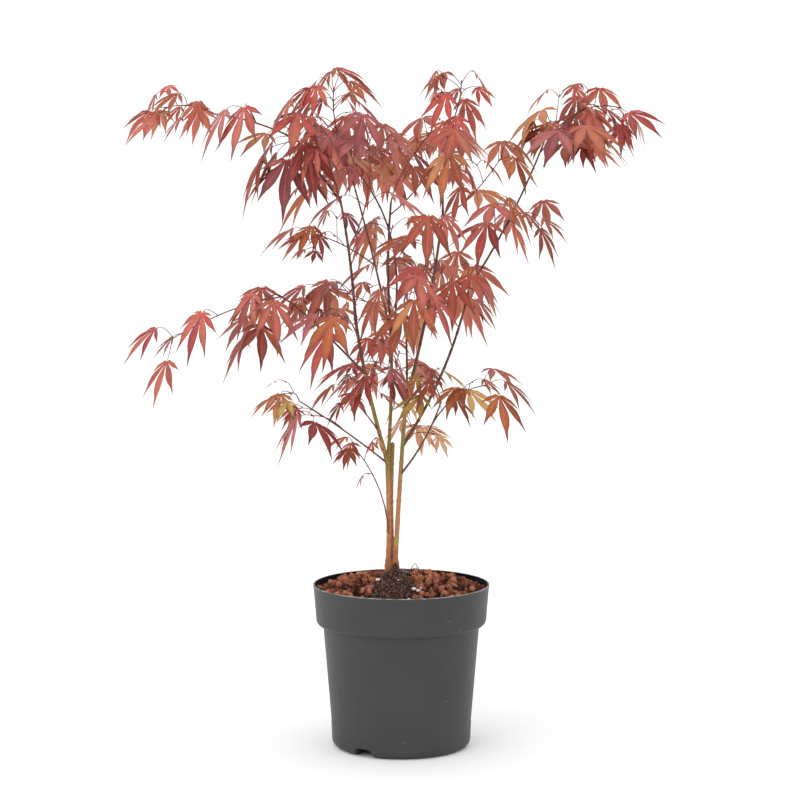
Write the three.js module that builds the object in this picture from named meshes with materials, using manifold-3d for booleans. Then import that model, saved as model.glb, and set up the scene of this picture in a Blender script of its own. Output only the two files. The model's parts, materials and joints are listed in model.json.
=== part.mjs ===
/**
 * A young Japanese maple with several stems, in a round nursery pot.
 *
 * Units are millimetres and +Z is up. The origin is the centre of the pot's flat underside, and
 * -Y is the front. The plant is worked out from three short lists of named sizes: the limbs, the
 * masses of leaves that grow on them, and the pot. Every limb, twig and leaf stalk is a tapering
 * tube along an arc. Every leaf is a hand of narrow lobes, placed by a seeded rule and left out
 * where it would touch a limb, another mass or the edge of the crown.
 */
import * as THREE from "three";
import { mergeVertices } from "three/addons/utils/BufferGeometryUtils.js";
import Module from "manifold-3d";

const wasm = await Module();
wasm.setup();

const GAP = 0.3; // between neighbouring solids
const UP = new THREE.Vector3(0, 0, 1);

// ---------------------------------------------------------------- the pot and what fills it
const POT = {
  height: 176,
  rimRadius: 95,
  collarHeight: 43.4,
  collarFootRadius: 91.8,
  bodyTopRadius: 83.6,
  bodyFootRadius: 74.2,
  footHeight: 10,
  contactRadius: 66.5,
  ledgeHeight: 26,
  ledgeStep: 0.5,
  draft: 0.9, // how far the foot's wall leans out below the ledge
  collarRound: 7,
  lip: 0.6, // bevel round the top of the rim
  wall: 1.8,
  floor: 10.5,
  sides: 40,
};
const NOTCH = {
  width: 20, height: 8.5, depth: 17, spring: 4.7, shoulder: 6, draft: 1, cutterLength: 40,
  bearings: [-33, 147], // degrees from the front
};
const FILL = { soilTop: 150, wallTop: 167, shoulderRadius: 62, shoulderTop: 179.5, flatRadius: 22, top: 186 };
const MOUND = { x: -3, apexY: -12, width: 56, reach: 76, top: 196, foot: 167.5, bulge: 1.8, sides: 14 };

// ---------------------------------------------------------------- the limbs
const FOOT = { x: -10, y: 0.5, height: 15, sides: 10 };

/**
 * One limb: it leaves its parent at a share of the parent's length, arcs to its tip with a bow at
 * mid length, and tapers from one radius to the other. An offset moves its start off the axis.
 */
const limb = (name, parent, share, tip, bow, radii, offset = [0, 0, 0]) => ({
  name, parent, share, tip, bow, radii, offset,
});

const LIMBS = [
  limb("trunk_foot", null, 0, [FOOT.x, FOOT.y, FILL.top + GAP + FOOT.height], [0, 0, 0], [7.6, 6.7]),
  limb("stem_left", "trunk_foot", 1, [-15, -2, 310], [1, -1, 0], [2.9, 2.4], [-3.6, -1.6, 0]),
  limb("stem_middle", "trunk_foot", 1, [-9.5, 4, 327], [-1.5, 1, 0], [2.9, 2.6], [0.2, 3.9, 0]),
  limb("stem_right", "trunk_foot", 1, [5, 0, 374], [-0.5, 0, 0], [2.8, 2], [3.6, -1.6, 0]),
  limb("bough_left_low", "stem_left", 1, [-48, -35, 462], [-3, 1, 0], [2.3, 1.7]),
  limb("bough_left_high", "bough_left_low", 1, [-63, -55, 587], [2, 0, 0], [1.6, 1.2]),
  limb("bough_top_left", "bough_left_high", 1, [-107, -60, 650], [-5, 0, 5], [1.15, 1]),
  limb("bough_top_left_far", "bough_top_left", 1, [-193, -50, 677], [0, -4, 4], [0.95, 0.8]),
  limb("leader_low", "stem_left", 0.96, [-11, 10, 447], [2, 0, 0], [2, 1.7]),
  limb("leader_high", "leader_low", 1, [-11, 25, 585], [-3, 0, 0], [1.5, 1.1]),
  limb("leader_back", "leader_low", 0.93, [-53, 95, 622], [22, -10, 12], [1.2, 0.9]),
  limb("bough_inner_left", "leader_low", 0.97, [-56, 30, 621], [1, -4, 4], [1.2, 0.9]),
  limb("bough_right_low", "stem_right", 1, [44, -10, 575], [4, 2, 0], [1.8, 1.3]),
  limb("bough_centre_top", "bough_right_low", 1, [50, 8, 660], [-2, -3, 0], [1.1, 0.8]),
  limb("bough_far_right_low", "stem_right", 0.72, [73, 20, 494], [8, 2, -4], [1.6, 1.25]),
  limb("bough_far_right_high", "bough_far_right_low", 1, [155, 0, 659], [4, 2, -4], [1.2, 0.9]),
  limb("bough_low_right", "stem_right", 0.54, [42, -35, 376], [3, 0, -3], [1.2, 0.8]),
  limb("bough_mid_left", "bough_left_low", 0.62, [-130, -45, 490], [-12, 2, 16], [1.2, 0.8]),
  limb("bough_low_left", "stem_left", 0.97, [-107, -40, 377], [0, 2, 2], [1, 0.7]),
  limb("bough_front_centre", "stem_right", 0.97, [3, -110, 487], [2, -14, -8], [1.3, 0.9]),
];
const LIMB_SIDES = 6;
const RING_STEP = 32; // length of limb from one ring to the next

// ---------------------------------------------------------------- the masses of leaves
/**
 * One mass of leaves: its stem leaves a limb at a share of the limb's length and arcs to a tip.
 * The leaves stand in opposite pairs from the share "first" of that stem to its tip, and a lone
 * leaf may end it. "leaf" is the length of the middle lobe and "tint" names the leaves' colour.
 */
const mass = (place, on, share, tip, bow, pairs, leaf, tint, lone = false, first = 0.45) => ({
  name: `leaves_${place}`, on, share, tip, bow, pairs, leaf, tint, lone, first,
});

const MASSES = [
  mass("top_left_tip", "bough_top_left_far", 1, [-244, -40, 684], [0, 0, 5], 3, 38, "coral", true, 0.2),
  mass("top_left_purple", "bough_top_left_far", 0.5, [-160, -66, 682], [0, 0, 4], 1, 60, "purple", true),
  mass("top_left", "bough_top_left", 1, [-112, -78, 648], [0, 0, 4], 3, 62, "crimson", true, 0.1),
  mass("top_left_inner", "bough_left_high", 0.8, [-80, -84, 646], [2, -4, 0], 3, 60, "crimson", true, 0.3),
  mass("peak_left", "bough_inner_left", 1, [-72, 22, 704], [-6, -4, 4], 4, 50, "coral", true, 0.15),
  mass("top_front", "bough_left_high", 0.6, [-34, -112, 648], [10, -8, 0], 2, 50, "purple", true, 0.4),
  mass("top_back", "leader_back", 0.97, [-20, 150, 640], [0, 0, 6], 3, 54, "brick", true, 0.2),
  mass("peak_centre", "bough_centre_top", 1, [64, 20, 712], [3, 0, 0], 3, 42, "coral", true, 0.1),
  mass("top_right_front", "bough_centre_top", 0.25, [51, -124, 646], [0, -12, 0], 2, 50, "crimson", true, 0.4),
  mass("leader_top", "leader_high", 1, [32, 55, 660], [-8, 0, -4], 2, 48, "orange", true, 0.4),
  mass("top_right_back", "leader_high", 0.9, [52, 150, 650], [0, 10, -8], 3, 54, "brick", true, 0.5),
  mass("right_branch", "bough_right_low", 0.97, [104, -45, 632], [0, 0, -8], 2, 46, "orange", true, 0.4),
  mass("far_right_tip", "bough_far_right_high", 0.95, [232, 26, 686], [0, 4, 14], 3, 48, "coral", true, 0.4),
  mass("top_right", "bough_far_right_high", 1, [182, -10, 674], [-2, 0, 4], 3, 58, "crimson", true, 0.15),
  mass("top_right_low", "bough_far_right_high", 0.88, [180, -66, 666], [4, 0, 8], 3, 58, "brick", true, 0.4),
  mass("right_front", "bough_far_right_high", 0.3, [96, -62, 580], [0, -4, 6], 2, 50, "crimson", true, 0.35),
  mass("right", "bough_far_right_high", 0.4, [142, 34, 572], [0, 0, 8], 2, 38, "brick", true, 0.3),
  mass("front_right", "bough_right_low", 0.55, [30, -150, 556], [4, -14, -6], 2, 50, "crimson", true, 0.5),
  mass("back_centre", "leader_high", 0.4, [-10, 155, 556], [-4, 16, -8], 3, 54, "brick", false, 0.4),
  mass("back_right", "bough_right_low", 0.4, [60, 150, 510], [4, 10, -8], 3, 54, "orange", true, 0.4),
  mass("front_centre", "bough_front_centre", 1, [10, -160, 498], [0, 0, 6], 2, 52, "orange", true, 0.2),
  mass("centre_right", "bough_right_low", 0.45, [64, -58, 496], [0, 0, -6], 1, 46, "orange", true, 0.4),
  mass("mid_left", "bough_mid_left", 1, [-148, -50, 474], [0, 0, 4], 3, 50, "crimson", true, 0.05),
  mass("mid_left_far", "bough_mid_left", 0.9, [-246, -34, 440], [4, 8, 8], 2, 52, "coral", false, 0.6),
  mass("inner_left", "bough_inner_left", 0.4, [-90, -20, 552], [0, -6, 4], 1, 42, "brick", true),
  mass("back_left", "leader_high", 0.06, [-88, 104, 488], [6, 4, 8], 3, 52, "brick", false, 0.4),
  mass("front_left", "bough_left_low", 0.86, [-62, -126, 472], [0, -6, 9], 3, 52, "crimson", true, 0.34),
  mass("low_front", "bough_left_low", 0.5, [-28, -98, 424], [4, -6, 8], 3, 50, "crimson", false, 0.3),
  mass("low_back", "leader_low", 0.4, [-2, 104, 418], [0, 6, 8], 2, 52, "brick", false, 0.45),
  mass("low_inner", "bough_left_low", 0.2, [-58, -46, 384], [0, 0, 4], 1, 38, "brick", false),
  mass("low_left", "bough_low_left", 1, [-115, -42, 386], [0, 0, 3], 1, 36, "olive", true),
  mass("low_left_front", "bough_low_left", 0.5, [-92, -62, 364], [0, -4, 5], 1, 48, "purple", true),
  mass("wand", "stem_left", 0.2, [-50, -20, 326], [9, -4, 4], 1, 34, "brick", true),
  mass("low_right", "bough_low_right", 1, [34, -60, 396], [0, 0, 3], 2, 44, "olive", true, 0.1),
  mass("low_right_far", "bough_low_right", 0.7, [88, -40, 394], [-4, 0, 8], 2, 46, "orange", true, 0.5),
  mass("low_peach", "stem_right", 0.7, [14, 40, 338], [2, 0, 3], 1, 42, "peach", true),
];
const TWIG = { root: 0.9, tip: 0.55, sides: 3, rings: 4 };
const CROWN = new THREE.Box3(new THREE.Vector3(-297, -215, 283), new THREE.Vector3(286, 215, 731));

// ---------------------------------------------------------------- one leaf
const HANDS = [
  { angles: [-76, -38, 0, 38, 76], lengths: [0.5, 0.84, 1, 0.84, 0.5] },
  { angles: [-104, -68, -34, 0, 34, 68, 104], lengths: [0.3, 0.6, 0.88, 1, 0.88, 0.6, 0.3] },
];
const LEAF = {
  lobeWidth: 0.22, // share of the lobe's length
  widest: 0.5, // share of the lobe's length where it is widest
  spike: 0.5, // a lobe no longer than this share of the leaf is a plain spike
  sinus: 0.09, // share of the leaf's length from its centre to the cuts between its lobes
  backTurn: 40, // degrees from the outermost lobe to the last cut
  core: 1.6, // thickness at the leaf's centre
  neck: 0.2, // share of the leaf's length from its centre back to where the stalk is thin
  droop: 0.2, // how far a lobe's tip sags, as a share of its length
  stalk: 0.5, // share of the leaf's length
  pitch: [18, 66], // degrees that the blade hangs below the level
  sevenLobes: 0.11, // share of the leaves that have seven lobes
  stalkRadius: 0.62,
  skirt: 0.5, // extra size of the leaf that is tried for clearance
  apart: 0.7, // how far each stalk of a pair stands off the place they share, along the stem
  bare: 2.5, // length of stalk, from the stem, that isn't tried: there a pair's stalks meet
  tries: 8,
};
const GROWTH = {
  lastPair: 0.96, // share of the stem where its last pair stands
  lone: 0.99, // share of the stem where a lone leaf stands
  turn: 50, // degrees that every other pair is rolled round the stem
  roll: 50, // degrees by which a pair's roll may differ
  forward: [0.35, 0.75], // lean of a stalk along the stem, at its foot and at its tip
  lift: [-0.15, 0.15], // lean of a stalk upwards
  sizes: [0.85, 1.13], // share of the mass's leaf size
  stalks: [0.8, 1.2], // share of the leaf's own stalk length
  yaw: 0.45, // radians to each side that a blade turns from its stalk
  tilt: 0.4, // radians to each side that a blade rolls
  uprightStem: 0.35, // a stem steeper than this has no level side of its own
};
const TINTS = {
  crimson: 0x96403a,
  purple: 0x8a4550,
  brick: 0xa5523c,
  coral: 0xc8553f,
  orange: 0xb9683c,
  olive: 0x9c8a40,
  peach: 0xd8a06e,
};

const { degToRad: radians, lerp } = THREE.MathUtils;
const vector = (xyz) => new THREE.Vector3(...xyz);

/** A stream of numbers from 0 to 1 that is the same on every run. */
function randomStream(seed) {
  let state = seed >>> 0;
  return () => {
    state = (state + 0x6d2b79f5) >>> 0;
    let mixed = Math.imul(state ^ (state >>> 15), state | 1);
    mixed ^= mixed + Math.imul(mixed ^ (mixed >>> 7), mixed | 61);
    return ((mixed ^ (mixed >>> 14)) >>> 0) / 4294967296;
  };
}

/** The number that a name stands for, which starts its streams. */
const seedOf = (name) => [...name].reduce((sum, letter) => (sum * 31 + letter.charCodeAt(0)) >>> 0, 7);

/** A closed mesh from its corners and triangles. */
function meshOf(corners, triangles) {
  const geometry = new THREE.BufferGeometry();
  const places = corners.flatMap((corner) => corner.toArray());
  geometry.setAttribute("position", new THREE.Float32BufferAttribute(places, 3));
  geometry.setIndex(triangles.flat());
  return geometry;
}

/** The solid that a closed mesh bounds. */
function solidOf(geometry) {
  geometry.deleteAttribute("normal");
  geometry.deleteAttribute("uv");
  const merged = mergeVertices(geometry, 1e-4);
  return new wasm.Manifold(new wasm.Mesh({
    numProp: 3,
    vertProperties: merged.attributes.position.array,
    triVerts: Uint32Array.from(merged.index.array),
  }));
}

/** The closed mesh round a solid. */
function geometryOf(solid) {
  const mesh = solid.getMesh();
  const geometry = new THREE.BufferGeometry();
  geometry.setAttribute("position", new THREE.BufferAttribute(mesh.vertProperties, mesh.numProp));
  geometry.setIndex(new THREE.BufferAttribute(mesh.triVerts, 1));
  return geometry;
}

/** Joins solids into one body: sealed hollows are filled and loose scraps dropped. */
function fuse(solids) {
  const bodies = wasm.Manifold.union(solids).decompose();
  return bodies.reduce((largest, body) => (body.volume() > largest.volume() ? body : largest));
}

/** A limb's axis: a line from start to tip, bowed at mid length. */
class Arc {
  constructor(start, tip, bow, radii) {
    Object.assign(this, { start, tip, bow, radii });
    const chord = tip.clone().sub(start);
    this.length = chord.length();
    const sizes = chord.toArray().map(Math.abs);
    this.across = new THREE.Vector3().setComponent(sizes.indexOf(Math.min(...sizes)), 1);
  }

  at(share) {
    return this.start.clone().lerp(this.tip, share).addScaledVector(this.bow, 4 * share * (1 - share));
  }

  heading(share) {
    return this.tip.clone().sub(this.start).addScaledVector(this.bow, 4 - 8 * share).normalize();
  }

  radius(share) {
    return lerp(...this.radii, share);
  }

  ring(share, sides) {
    const heading = this.heading(share);
    const side = this.across.clone().cross(heading).normalize();
    const other = heading.clone().cross(side);
    return Array.from({ length: sides }, (_, i) => {
      const turn = (2 * Math.PI * i) / sides;
      return this.at(share)
        .addScaledVector(side, Math.cos(turn) * this.radius(share))
        .addScaledVector(other, Math.sin(turn) * this.radius(share));
    });
  }

  /** Shares the arc out into rings, from the first ring to its tip. */
  setRings(from, count) {
    this.shares = Array.from({ length: count }, (_, i) => lerp(from, 1, i / (count - 1)));
    return this;
  }

  /** How far a point lies outside the skin of the tube through the arc's rings. */
  clearance(point) {
    const nearest = new THREE.Vector3();
    return Math.min(...this.shares.slice(1).map((share, i) => {
      const span = new THREE.Line3(this.at(this.shares[i]), this.at(share));
      span.closestPointToPoint(point, true, nearest);
      return nearest.distanceTo(point) - this.radius(this.shares[i]);
    }));
  }
}

/** The share of the arc at which its end ring first stands clear of its parent and the others. */
function clearStart(arc, parent, share, others, sides) {
  const end = parent.heading(1);
  const isClear = (corner) => (share >= 1
    ? corner.clone().sub(parent.tip).dot(end) >= GAP
    : parent.clearance(corner) >= GAP) && others.every((other) => other.clearance(corner) >= GAP);
  const STEP = 0.1 / arc.length;
  let from = 0;
  while (from < 0.5 && !arc.ring(from, sides).every(isClear)) from += STEP;
  return from;
}

/** A tapering tube along an arc, closed by flat ends. */
function tube(arc, sides) {
  const rings = arc.shares.length;
  const corners = arc.shares.flatMap((share) => arc.ring(share, sides));
  const triangles = [];
  for (let ring = 0; ring < rings - 1; ring++) {
    for (let i = 0; i < sides; i++) {
      const [a, b] = [ring * sides + i, ring * sides + ((i + 1) % sides)];
      triangles.push([a, b, b + sides], [a, b + sides, a + sides]);
    }
  }
  const last = (rings - 1) * sides;
  for (let i = 1; i < sides - 1; i++) {
    triangles.push([0, i + 1, i], [last, last + i, last + i + 1]);
  }
  return meshOf(corners, triangles);
}

/**
 * One leaf as a closed body: a hand of lobes round its centre, each a flat spindle with a ridge
 * along its middle, and a four-sided stalk that starts as the back edge of the hand.
 */
function leafBody(leaf, skirt = 0) {
  const { root, centre, axis, side, normal, size, hand } = leaf;
  const place = (degrees, distance, sag = 0) => centre.clone()
    .addScaledVector(axis, Math.cos(radians(degrees)) * distance)
    .addScaledVector(side, Math.sin(radians(degrees)) * distance)
    .addScaledVector(UP, -sag);
  const above = (point, height) => point.clone().addScaledVector(normal, height);
  const cutReach = LEAF.sinus * size + skirt;
  const thick = LEAF.core / 2 + skirt;
  const firstCut = place(hand.angles[0] - LEAF.backTurn, cutReach);
  const corners = [above(centre, thick), above(centre, -thick), firstCut];
  const [TOP, BOTTOM, FIRST_CUT] = [0, 1, 2];
  const triangles = [];
  hand.angles.forEach((angle, i) => {
    const length = hand.lengths[i] * size + skirt;
    const halfWidth = (LEAF.lobeWidth * hand.lengths[i] * size) / 2 + skirt;
    const spread = THREE.MathUtils.radToDeg(Math.atan2(halfWidth, LEAF.widest * length));
    const flank = Math.hypot(halfWidth, LEAF.widest * length);
    const isLast = i === hand.angles.length - 1;
    const cut = isLast ? angle + LEAF.backTurn : (angle + hand.angles[i + 1]) / 2;
    const tip = place(angle, length, LEAF.droop * length);
    const sag = LEAF.droop * LEAF.widest * length;
    const flanks = [-spread, spread].map((turn) => place(angle + turn, flank, sag));
    const outline = hand.lengths[i] > LEAF.spike ? [flanks[0], tip, flanks[1]] : [tip];
    for (const corner of [...outline, place(cut, cutReach)]) {
      const next = corners.push(corner) - 1;
      triangles.push([TOP, next - 1, next], [BOTTOM, next, next - 1]);
    }
  });
  let ring = [TOP, FIRST_CUT, BOTTOM, corners.length - 1];
  const thin = LEAF.stalkRadius + skirt / 2;
  const neck = centre.clone().addScaledVector(axis, -LEAF.neck * size);
  const stalkWay = neck.clone().sub(root).normalize();
  const foot = root.clone().addScaledVector(stalkWay, skirt ? LEAF.bare : 0);
  for (const [point, way] of [[neck, stalkWay.clone().add(axis).normalize()], [foot, stalkWay]]) {
    const stalkSide = side.clone().addScaledVector(way, -side.dot(way)).normalize();
    const stalkTop = way.clone().cross(stalkSide);
    const next = corners.length;
    corners.push(
      point.clone().addScaledVector(stalkTop, thin),
      point.clone().addScaledVector(stalkSide, -thin),
      point.clone().addScaledVector(stalkTop, -thin),
      point.clone().addScaledVector(stalkSide, thin),
    );
    ring.forEach((corner, i) => {
      const j = (i + 1) % 4;
      triangles.push([corner, next + j, ring[j]], [corner, next + i, next + j]);
    });
    ring = [next, next + 1, next + 2, next + 3];
  }
  const [a, b, c, d] = ring;
  triangles.push([a, c, b], [a, d, c]);
  return meshOf(corners, triangles);
}

/** Where the leaves of a mass stand on its stem: opposite pairs, each turned from the last. */
function leafSeats(sprig) {
  const seats = [];
  for (let pair = 0; pair < sprig.pairs; pair++) {
    const along = sprig.pairs === 1 ? 1 : pair / (sprig.pairs - 1);
    const share = lerp(sprig.first, GROWTH.lastPair, along);
    for (const hand of [-1, 1]) seats.push({ share, turn: pair % 2, hand });
  }
  if (sprig.lone) seats.push({ share: GROWTH.lone, turn: 0, hand: 0 });
  return seats;
}

/** One try at a leaf: its stalk leaves the stem sideways and its blade hangs from the end. */
function aimLeaf(sprig, arc, seat, random) {
  const heading = arc.heading(seat.share);
  const level = heading.clone().cross(UP);
  if (level.length() < GROWTH.uprightStem) level.set(1, 0, 0);
  level.normalize();
  const roll = radians(seat.turn * GROWTH.turn + (random() - 0.5) * GROWTH.roll);
  const sideways = level.applyAxisAngle(heading, roll).multiplyScalar(seat.hand);
  const forward = seat.hand === 0 ? 1 : lerp(...GROWTH.forward, seat.share);
  const reach = sideways.addScaledVector(heading, forward)
    .addScaledVector(UP, lerp(...GROWTH.lift, random()))
    .normalize();
  const size = sprig.leaf * lerp(...GROWTH.sizes, random());
  const root = arc.at(seat.share + (seat.hand * LEAF.apart) / arc.length);
  const centre = root.clone().addScaledVector(reach, size * LEAF.stalk * lerp(...GROWTH.stalks, random()));
  const pitch = radians(lerp(...LEAF.pitch, random()));
  const yaw = lerp(-GROWTH.yaw, GROWTH.yaw, random());
  const ahead = new THREE.Vector3(reach.x, reach.y, 0).normalize().applyAxisAngle(UP, yaw);
  const axis = ahead.clone().multiplyScalar(Math.cos(pitch)).addScaledVector(UP, -Math.sin(pitch));
  const tilt = lerp(-GROWTH.tilt, GROWTH.tilt, random());
  const side = UP.clone().cross(ahead).applyAxisAngle(axis, tilt);
  const normal = axis.clone().cross(side);
  const hand = HANDS[random() < LEAF.sevenLobes ? 1 : 0];
  return { root, centre, axis, side, normal, size, hand };
}

const overlaps = (one, other) => {
  const [a, b] = [one.box, other.box];
  return a.intersectsBox(b) && one.solid.intersect(other.solid).volume() > 1e-6;
};

/** A solid with the box round it. */
function boxed(geometry) {
  geometry.computeBoundingBox();
  return { solid: solidOf(geometry), box: geometry.boundingBox.clone() };
}

/** Places a mass's leaves one by one and keeps those that stand clear of all others. */
function growLeaves(sprig, arc, obstacles) {
  const leaves = [];
  leafSeats(sprig).forEach((seat, index) => {
    const random = randomStream(seedOf(sprig.name) + index);
    for (let attempt = 0; attempt < LEAF.tries; attempt++) {
      const leaf = aimLeaf(sprig, arc, seat, random);
      const wide = boxed(leafBody(leaf, LEAF.skirt));
      const isFree = CROWN.containsBox(wide.box)
        && ![...obstacles, ...leaves.map((kept) => kept.wide)].some((other) => overlaps(wide, other));
      if (!isFree) continue;
      leaves.push({ wide, body: solidOf(leafBody(leaf)) });
      break;
    }
  });
  return leaves;
}

// ---------------------------------------------------------------- the pot's shapes
/** A ring of points along a quarter turn, for a rounded corner of a profile. */
function corner(centreX, centreY, radius, fromDegrees, toDegrees, steps = 2) {
  return Array.from({ length: steps + 1 }, (_, i) => {
    const turn = radians(lerp(fromDegrees, toDegrees, i / steps));
    return new THREE.Vector2(centreX + radius * Math.cos(turn), centreY + radius * Math.sin(turn));
  });
}

/** A solid of revolution about the vertical axis. */
function turned(profile, sides = POT.sides) {
  return new THREE.LatheGeometry(profile, sides).rotateX(Math.PI / 2);
}

/** The pot's outside, from the centre of its underside up to the rim. */
function potOutside() {
  const collarFoot = POT.height - POT.collarHeight;
  const [foot, heel, bend] = [POT.bodyFootRadius, 0.85 * POT.footHeight, POT.collarRound];
  return [
    new THREE.Vector2(0, 0),
    ...corner(POT.contactRadius, heel, heel, -90, -15),
    new THREE.Vector2(foot + POT.ledgeStep, POT.footHeight),
    new THREE.Vector2(foot + POT.ledgeStep + POT.draft, POT.ledgeHeight),
    new THREE.Vector2(foot + POT.draft, POT.ledgeHeight + POT.ledgeStep),
    new THREE.Vector2(POT.bodyTopRadius, collarFoot - POT.ledgeStep),
    ...corner(POT.collarFootRadius - bend, collarFoot + bend - 2 * POT.ledgeStep, bend, -90, 0),
    new THREE.Vector2(POT.rimRadius, POT.height - POT.lip),
    new THREE.Vector2(POT.rimRadius - POT.lip, POT.height),
  ];
}

/** The pot's inside, from the floor's centre up to the rim, moved inwards by a clearance. */
function potInside(clearance = 0) {
  const step = POT.height - POT.collarHeight + POT.wall;
  const inset = POT.wall + clearance;
  return [
    new THREE.Vector2(0, POT.floor + clearance),
    new THREE.Vector2(POT.bodyFootRadius - inset, POT.floor + clearance),
    new THREE.Vector2(POT.bodyTopRadius - inset, step + clearance),
    new THREE.Vector2(POT.collarFootRadius - inset - 1, step + clearance + 2),
    new THREE.Vector2(POT.rimRadius - inset, POT.height),
  ];
}

/** The pot: a thin shell with a thick collar, and arched drain notches under its edge. */
function pot() {
  const shell = turned([...potOutside(), ...potInside().reverse()]);
  const arch = new THREE.Shape();
  const { height, spring, draft, shoulder } = NOTCH;
  const half = NOTCH.width / 2;
  arch.moveTo(-half, -draft);
  arch.lineTo(half, -draft);
  arch.lineTo(half - draft, spring);
  arch.quadraticCurveTo(half - 2 * draft, height, half - shoulder, height);
  arch.lineTo(shoulder - half, height);
  arch.quadraticCurveTo(2 * draft - half, height, draft - half, spring);
  arch.closePath();
  let solid = solidOf(shell);
  const cut = { depth: NOTCH.cutterLength, bevelEnabled: false, curveSegments: 3 };
  for (const bearing of NOTCH.bearings) {
    const cutter = new THREE.ExtrudeGeometry(arch, cut);
    cutter.rotateX(Math.PI / 2).translate(0, NOTCH.depth - POT.bodyFootRadius, 0);
    cutter.rotateZ(radians(bearing));
    solid = solid.subtract(solidOf(cutter));
  }
  return geometryOf(solid);
}

/** The compost that fills the pot. */
function soil() {
  const wall = potInside(GAP);
  const share = (FILL.soilTop - wall[3].y) / (wall[4].y - wall[3].y);
  const brim = wall[3].clone().lerp(wall[4], share);
  return turned([...wall.slice(0, 4), brim, new THREE.Vector2(0, FILL.soilTop)], POT.sides / 2);
}

/** The domed layer of bark granules on the compost, raised by a clearance. */
function granules(raise = 0) {
  const wall = potInside(GAP);
  const radiusAt = (z) => THREE.MathUtils.mapLinear(z, wall[3].y, wall[4].y, wall[3].x, wall[4].x);
  const base = FILL.soilTop + GAP;
  return turned([
    new THREE.Vector2(0, base),
    new THREE.Vector2(radiusAt(base), base),
    new THREE.Vector2(radiusAt(FILL.wallTop), FILL.wallTop + raise),
    new THREE.Vector2(FILL.shoulderRadius, FILL.shoulderTop + raise),
    new THREE.Vector2(FILL.flatRadius, FILL.top + raise),
    new THREE.Vector2(0, FILL.top + raise),
  ], POT.sides / 2);
}

/** The mound of old root ball that leans on the foot of the stems: a cone that runs out forwards. */
function mound(footArc) {
  const lump = new THREE.ConeGeometry(1, 1, MOUND.sides, 3).rotateX(Math.PI / 2);
  const place = lump.attributes.position;
  for (let i = 0; i < place.count; i++) {
    const [x, y, rise] = [place.getX(i), place.getY(i), place.getZ(i) + 0.5];
    const forwards = MOUND.apexY + (y - (1 - rise)) * (MOUND.reach / 2);
    const height = lerp(MOUND.foot, MOUND.top, 1 - Math.max(1 - rise, 0) ** MOUND.bulge);
    place.setXYZ(i, MOUND.x + (x * MOUND.width) / 2, forwards, height);
  }
  const spaceRadius = footArc.radii[0] + GAP;
  const space = new THREE.CylinderGeometry(spaceRadius, spaceRadius, 2 * MOUND.foot, FOOT.sides);
  space.rotateX(Math.PI / 2).translate(FOOT.x, FOOT.y, footArc.start.z);
  const solid = solidOf(lump).subtract(solidOf(granules(GAP))).subtract(solidOf(space));
  return geometryOf(fuse([solid]));
}

// ---------------------------------------------------------------- assembly
const MATERIALS = {
  pot: { color: 0x4d4e4f, roughness: 0.55, metalness: 0 },
  soil: { color: 0x3a2a22, roughness: 1, metalness: 0 },
  granules: { color: 0x80472f, roughness: 0.9, metalness: 0 },
  mound: { color: 0x583b2f, roughness: 1, metalness: 0 },
  bark: { color: 0xb58a5c, roughness: 0.7, metalness: 0 },
};

const tree = new THREE.Group();

/** Adds one named piece to the plant. */
function add(name, geometry, look) {
  const piece = new THREE.Mesh(geometry, new THREE.MeshStandardMaterial(look));
  piece.name = name;
  tree.add(piece);
}

/** Works out every limb's arc, each from its parent's. */
function limbArcs() {
  const arcs = new Map();
  for (const part of LIMBS) {
    const parent = arcs.get(part.parent);
    const start = parent ? parent.at(part.share) : new THREE.Vector3(FOOT.x, FOOT.y, FILL.top + GAP);
    const arc = new Arc(start.add(vector(part.offset)), vector(part.tip), vector(part.bow), part.radii);
    const others = [...arcs.values()].filter((other) => other !== parent);
    const from = parent ? clearStart(arc, parent, part.share, others, LIMB_SIDES) : 0;
    arcs.set(part.name, arc.setRings(from, Math.max(3, Math.ceil(arc.length / RING_STEP) + 1)));
  }
  return arcs;
}

/** Works out the arc of a mass's stem. */
function stemArc(sprig, arcs) {
  const parent = arcs.get(sprig.on);
  const root = Math.min(TWIG.root, parent.radius(sprig.share));
  const arc = new Arc(parent.at(sprig.share), vector(sprig.tip), vector(sprig.bow), [root, TWIG.tip]);
  const others = [...arcs.values()].filter((other) => other !== parent);
  return arc.setRings(clearStart(arc, parent, sprig.share, others, TWIG.sides), TWIG.rings);
}

add("pot", pot(), MATERIALS.pot);
add("soil", soil(), MATERIALS.soil);
add("granules", granules(), MATERIALS.granules);

const arcs = limbArcs();
add("compost_mound", mound(arcs.get("trunk_foot")), MATERIALS.mound);

const obstacles = [];
for (const [name, arc] of arcs) {
  const geometry = tube(arc, name === "trunk_foot" ? FOOT.sides : LIMB_SIDES);
  obstacles.push(boxed(geometry.clone()));
  add(name, geometry, MATERIALS.bark);
}

const stems = MASSES.map((sprig) => stemArc(sprig, arcs));
const stemBodies = stems.map((arc) => boxed(tube(arc, TWIG.sides)));
const grown = [];
MASSES.forEach((sprig, number) => {
  const others = [...obstacles, ...stemBodies.filter((_, i) => i !== number), ...grown];
  const leaves = growLeaves(sprig, stems[number], others);
  grown.push(...leaves.map((leaf) => leaf.wide));
  const body = fuse([stemBodies[number].solid, ...leaves.map((leaf) => leaf.body)]);
  add(sprig.name, geometryOf(body), { color: TINTS[sprig.tint], roughness: 0.6, metalness: 0 });
});

export default tree;
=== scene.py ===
"""A young Japanese maple with several stems, in a round nursery pot.

The sizes in the lists are millimetres and the meshes are metres. +Z is up, -Y is the front, and
the origin is the centre of the pot's flat underside. Every limb, twig and stalk is a tapering
tube along an arc, every leaf is a hand of narrow pointed lobes, and both are placed by a seeded
rule, so the plant is the same on every run.
"""

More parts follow.
